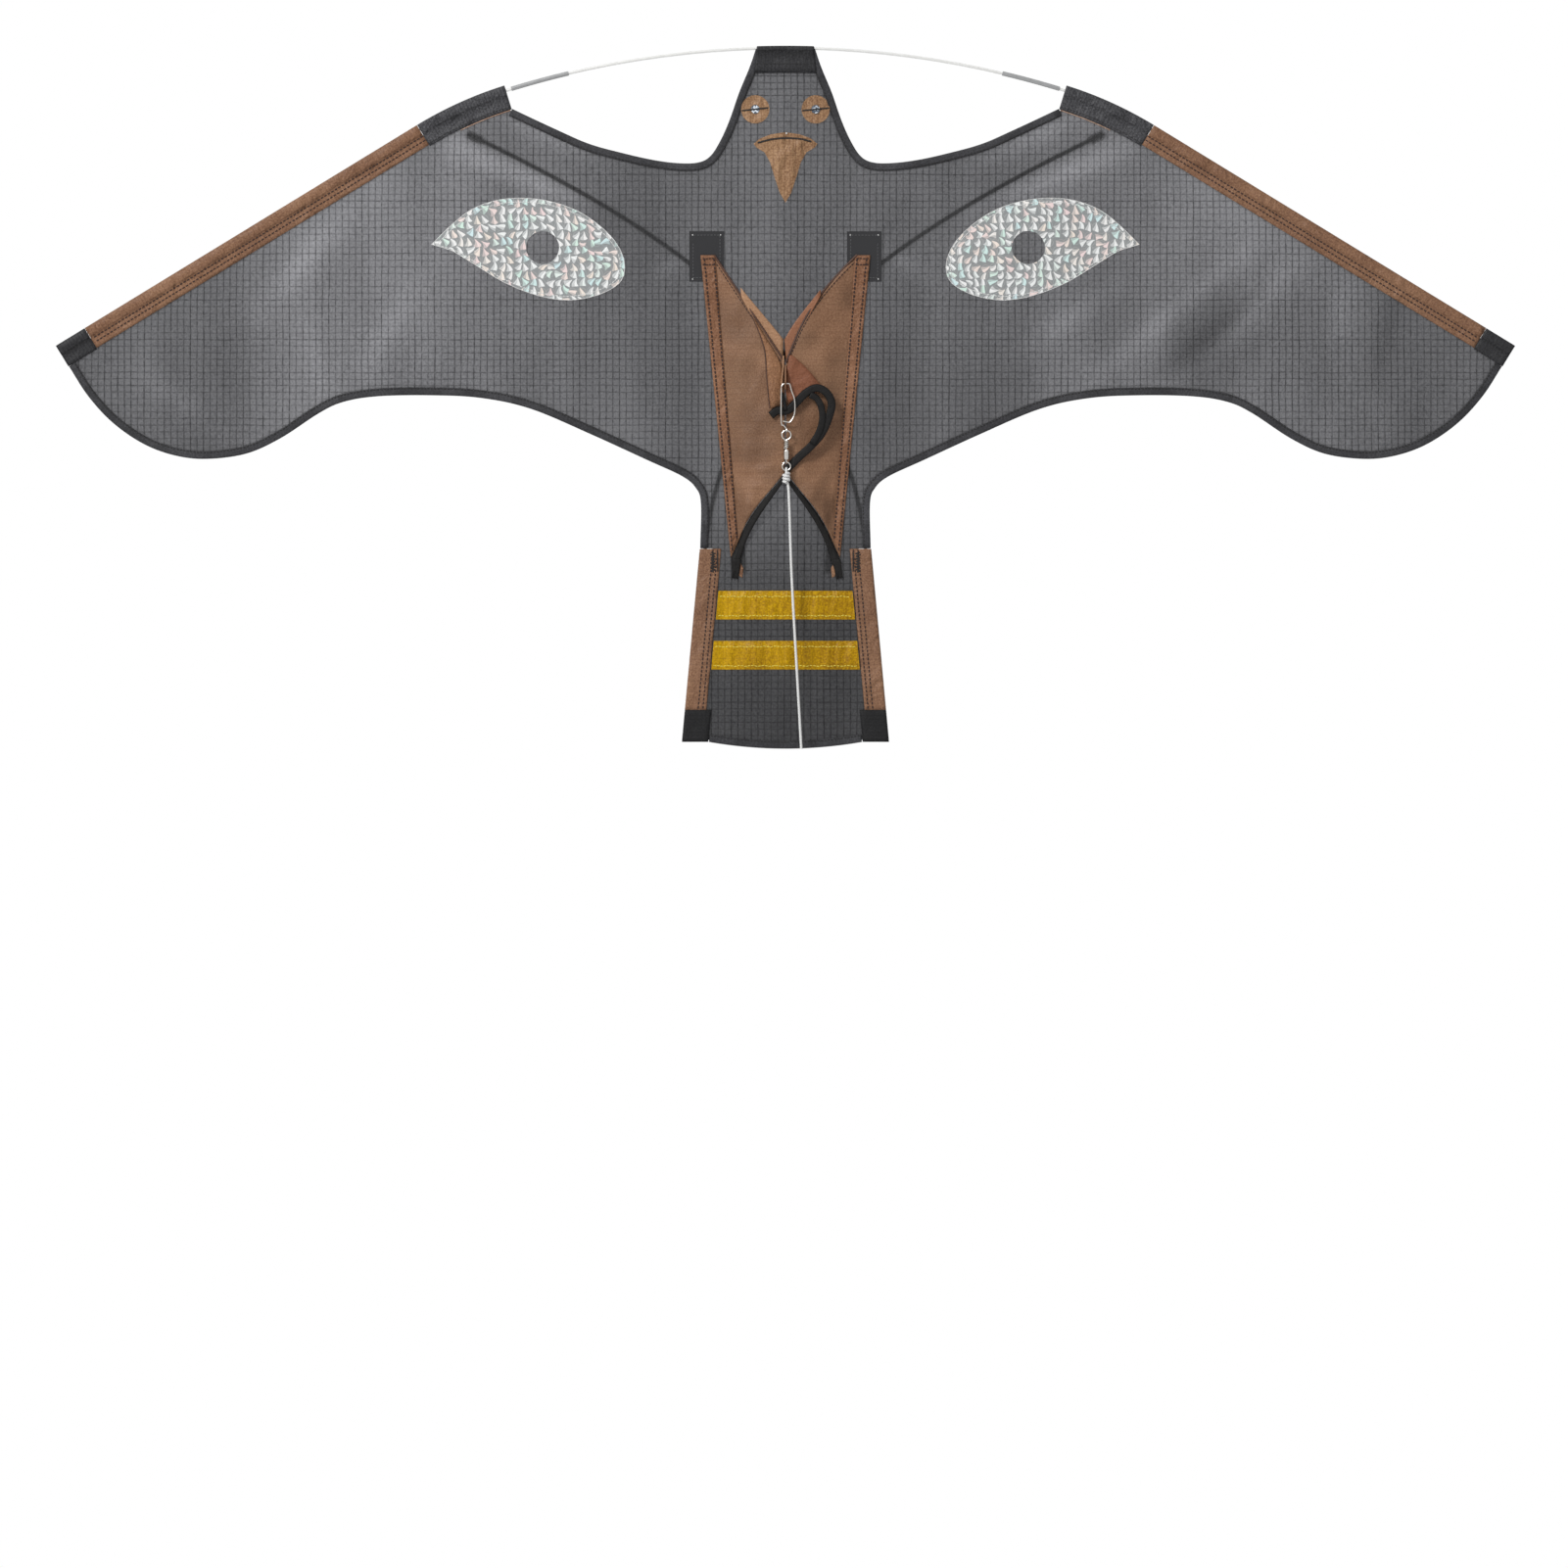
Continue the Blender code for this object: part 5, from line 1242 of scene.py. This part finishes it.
def ruled_cloth(name, first, second, depths, material, bulge=0.0):
    """Cloth laid between two edges, with its depth at each of them and a bulge between."""
    columns = 8
    rows, marks = [], []
    for a, b in zip(through(first, 4), through(second, 4)):
        row, mark = [], []
        for j in range(columns + 1):
            share = j / columns
            spot = a.lerp(b, share)
            wave = 0.0004 * noise.noise(Vector((spot.x * 180, spot.y * 110, 1.0)))
            y = depths[0] + (depths[1] - depths[0]) * share - bulge * math.sin(math.pi * share)
            row.append((spot.x, y - max(0.0, wave), spot.y))
            mark.append((spot.y, spot.x))
        rows.append(row)
        marks.append(mark)
    piece = skin(name, rows, marks)
    thicken(piece, cloth_t)
    finish_piece(piece, material)
    return piece


left_ends = at_pixels((749, 571), (756.5, 571), (747, 590), (754, 591))
left_corner = at_pixels((756, 575), (759, 580), (754.5, 588), (758, 590))
right_ends = at_pixels((851, 571), (858.5, 571), (853.5, 591), (860.5, 590))
right_corner = at_pixels((848.5, 580), (851.5, 575), (849.5, 590), (853, 588))
for side, ends, corner in (("left", left_ends, left_corner), ("right", right_ends, right_corner)):
    foot = ends[2:]
    ruled_cloth(f"keel_foot_{side}", ends[:2], foot, (-0.0025, -0.0014), black)
    for i in range(5):
        loose = foot[0].lerp(foot[1], (i + 0.5) / 5)
        end = loose + Vector((0.0005 * math.sin(i * 2.1), -0.0016 - 0.0008 * math.sin(i * 3.7)))
        thread = [(loose.x, -0.0014, loose.y + 0.0010), (loose.x, -0.0013, loose.y), (end.x, -0.0009, end.y)]
        name = f"keel_foot_thread_{side}_{i}"
        round_wire(name, thread, 0.0002, black_thread, sides=1)
    ruled_cloth(f"keel_corner_{side}", corner[:2], corner[2:], (-0.0010, -0.0009), brown)


# Keel nose
# The two panels turn in at the ridge: their lighter inner sides show in the vee, one flap lies
# over to each side of the ridge, and the black tape that bound the nose hangs in a loop.
tones = (192, 150, 116), (158, 116, 86), (158, 116, 86)
inside = cloth_of("inner side of brown ripstop", *tones, rise=0.0003, gloss=0.4)
tones = (142, 92, 68), (116, 72, 52), (120, 76, 55)
russet = cloth_of("turned brown ripstop", *tones, rise=0.0003, crumple=0.0060)
tones = (166, 122, 90), (116, 80, 56), (120, 84, 60)
flap_cloth = cloth_of("turned flap of brown ripstop", *tones, rise=0.0003, crumple=0.0080)
tones = (158, 108, 78), (132, 84, 60), (132, 84, 60)
warm = cloth_of("shaded inner side of brown ripstop", *tones, rise=0.0003, gloss=0.4)

edge = at_pixels((756, 294), (771, 312), (786, 330), (800, 347))
foot = at_pixels((757, 304), (772, 330), (785, 352), (799, 375))
ruled_cloth("vee_lining_left", edge, foot, (-0.0085, -0.0090), inside)
edge = at_pixels((838, 296), (822, 316), (810, 332), (801, 347))
foot = at_pixels((838, 302), (826, 324), (816, 346), (803, 375))
ruled_cloth("vee_lining_right", edge, foot, (-0.0085, -0.0090), warm)
edge = at_pixels((767, 322), (775, 340), (781, 360), (783, 388), (786, 418))
foot = at_pixels((767, 322), (782, 346), (797, 372), (798, 393), (798, 413))
flap = ruled_cloth("nose_flap_left", edge, foot, (-0.0146, -0.0136), flap_cloth, bulge=0.0010)
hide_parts("keel_nose")
# The flap's turned edge as a dark rolled wire, which also stands for the shadow along the flap's left edge.
turned_edge_and_shadow = [(place.x, -0.0149, place.y) for place in through(edge, 4)]
round_wire("nose_flap_edge", turned_edge_and_shadow, 0.0006, hem_brown)
edge = at_pixels((806, 364), (803, 380), (802, 397), (805, 412))
foot = at_pixels((808, 363), (819, 372), (831, 385), (841, 399))
ruled_cloth("nose_flap_right", edge, foot, (-0.0132, -0.0124), russet, bulge=0.0006)
fold = through(at_pixels((800, 364), (799.6, 376), (798.4, 388), (798, 401)), 4)
fold = [(place.x, -0.0142, place.y) for place in fold]
round_wire("nose_ridge_fold", fold, 0.0008, inside)

loop = ((787, 425), (794, 420), (804, 420), (813, 412), (823, 402), (834, 397), (844, 402))
loop += ((849, 413), (846, 427), (839, 443), (828, 456), (817, 466), (808, 475), (803, 480))
strand = ((827, 404), (834, 408), (838.5, 417), (839.5, 429), (836, 442), (829, 454))
spur = ((798, 402), (800.5, 410), (802, 420))
flat_tape = [(0.0060, -0.0004), (0.0045, -0.0006), (0.0030, -0.0005), (0.0015, -0.0007)]
flat_tape += [(0.0, -0.0003), (0.0, 0.0), (0.0030, 0.0), (0.0060, 0.0)]
for name, pixels, width, y in (
    ("nose_loop_tape", loop, 1.15, -0.0142),
    ("nose_loop_strand", strand, 0.95, -0.0150),
    ("nose_spur_tape", spur, 0.5, -0.0150),
):
    stations = []
    for place, side in beside(through(at_pixels(*pixels), 5), 0):
        stations.append((place - side * 0.0030 * width, side * width))
    profile = [(reach, y + rise) for reach, rise in flat_tape]
    strip = fold_strip(name, stations, profile, black, 0.03, on_sail=False)
    # the loop's foot lies back, clear of the swivel's lower ring as it turns
    for vertex in strip.data.vertices:
        if vertex.co.z < -0.366:
            vertex.co.y += 0.0022 * min(1.0, max(0.0, (0.0062 - vertex.co.x) / 0.0036))
    if pixels is loop:
        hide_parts("keel_nose_binding")
finish_piece(cut_from("nose_tab", "nose_tab_cloth", 0.0020), brown)

# Shoulder tabs
# A small square of black tape sewn over the cap on the top end of each crossed rod.
rod_across = Vector((-math.sin(rod_slope), math.cos(rod_slope)))
cap_half = 0.0032
for side, sign in signs:
    tab = cut_from(f"shoulder_tab_{side}", f"shoulder_tab_{side}_tape", 0.0020)
    for vertex in tab.data.vertices:
        out = Vector((vertex.co.x * sign, vertex.co.z)) - Vector((-rod_start.x, rod_start.y))
        out = out.dot(rod_across)
        if abs(out) > cap_half:
            drawn_in = rod_across * (math.copysign(cap_half + (abs(out) - cap_half) * 0.2, out) - out)
            vertex.co.x += drawn_in.x * sign
            vertex.co.z += drawn_in.y
    finish_piece(tab, black_cloth)


# Rods
# Pultruded glass fibre, white, with faint lengthwise fibres under a thin gloss of resin, and
# grey plastic ferrules over the two joints of the spar.
def coat(material, *names):
    """Gives the part's own pieces their finish."""
    for name in names:
        nodes[name].data.materials.clear()
        nodes[name].data.materials.append(material)


tones = linear(238, 238, 235), linear(253, 253, 251)
fibre = mottled("white glass fibre", *tones, 160.0, 3.0, Roughness=0.32, Coat_Weight=0.2)[0]
tones = linear(150, 151, 152), linear(180, 181, 182)
tube = mottled("grey ferrule plastic", *tones, 220.0, 4.0, Roughness=0.42)[0]
cap = thread_of("black cap plastic", (30, 30, 31), 0.45)
coat(fibre, "spar_centre", "spar_left", "spar_right", "cross_rod_left", "cross_rod_right")
coat(tube, "ferrule_left", "ferrule_right")
coat(cap, "rod_cap_left", "rod_cap_right")

# Snap and swivel
# Spring wire, nickel plated, with a turned brass barrel under the same plating. Handling has
# dulled it a little.
tones = (0.40, 0.38, 0.35, 1), (0.66, 0.64, 0.61, 1)
nickel, tree, shader, rubbed = mottled("nickel plated wire", *tones, 400.0, 3.0, Metallic=1.0)
tree.links.new(ranged(tree, rubbed, 0.0, 1.0, 0.16, 0.38), shader.inputs["Roughness"])
coat(nickel, "snap_leg", "snap_bow", "swivel_upper", "swivel_barrel", "swivel_lower")
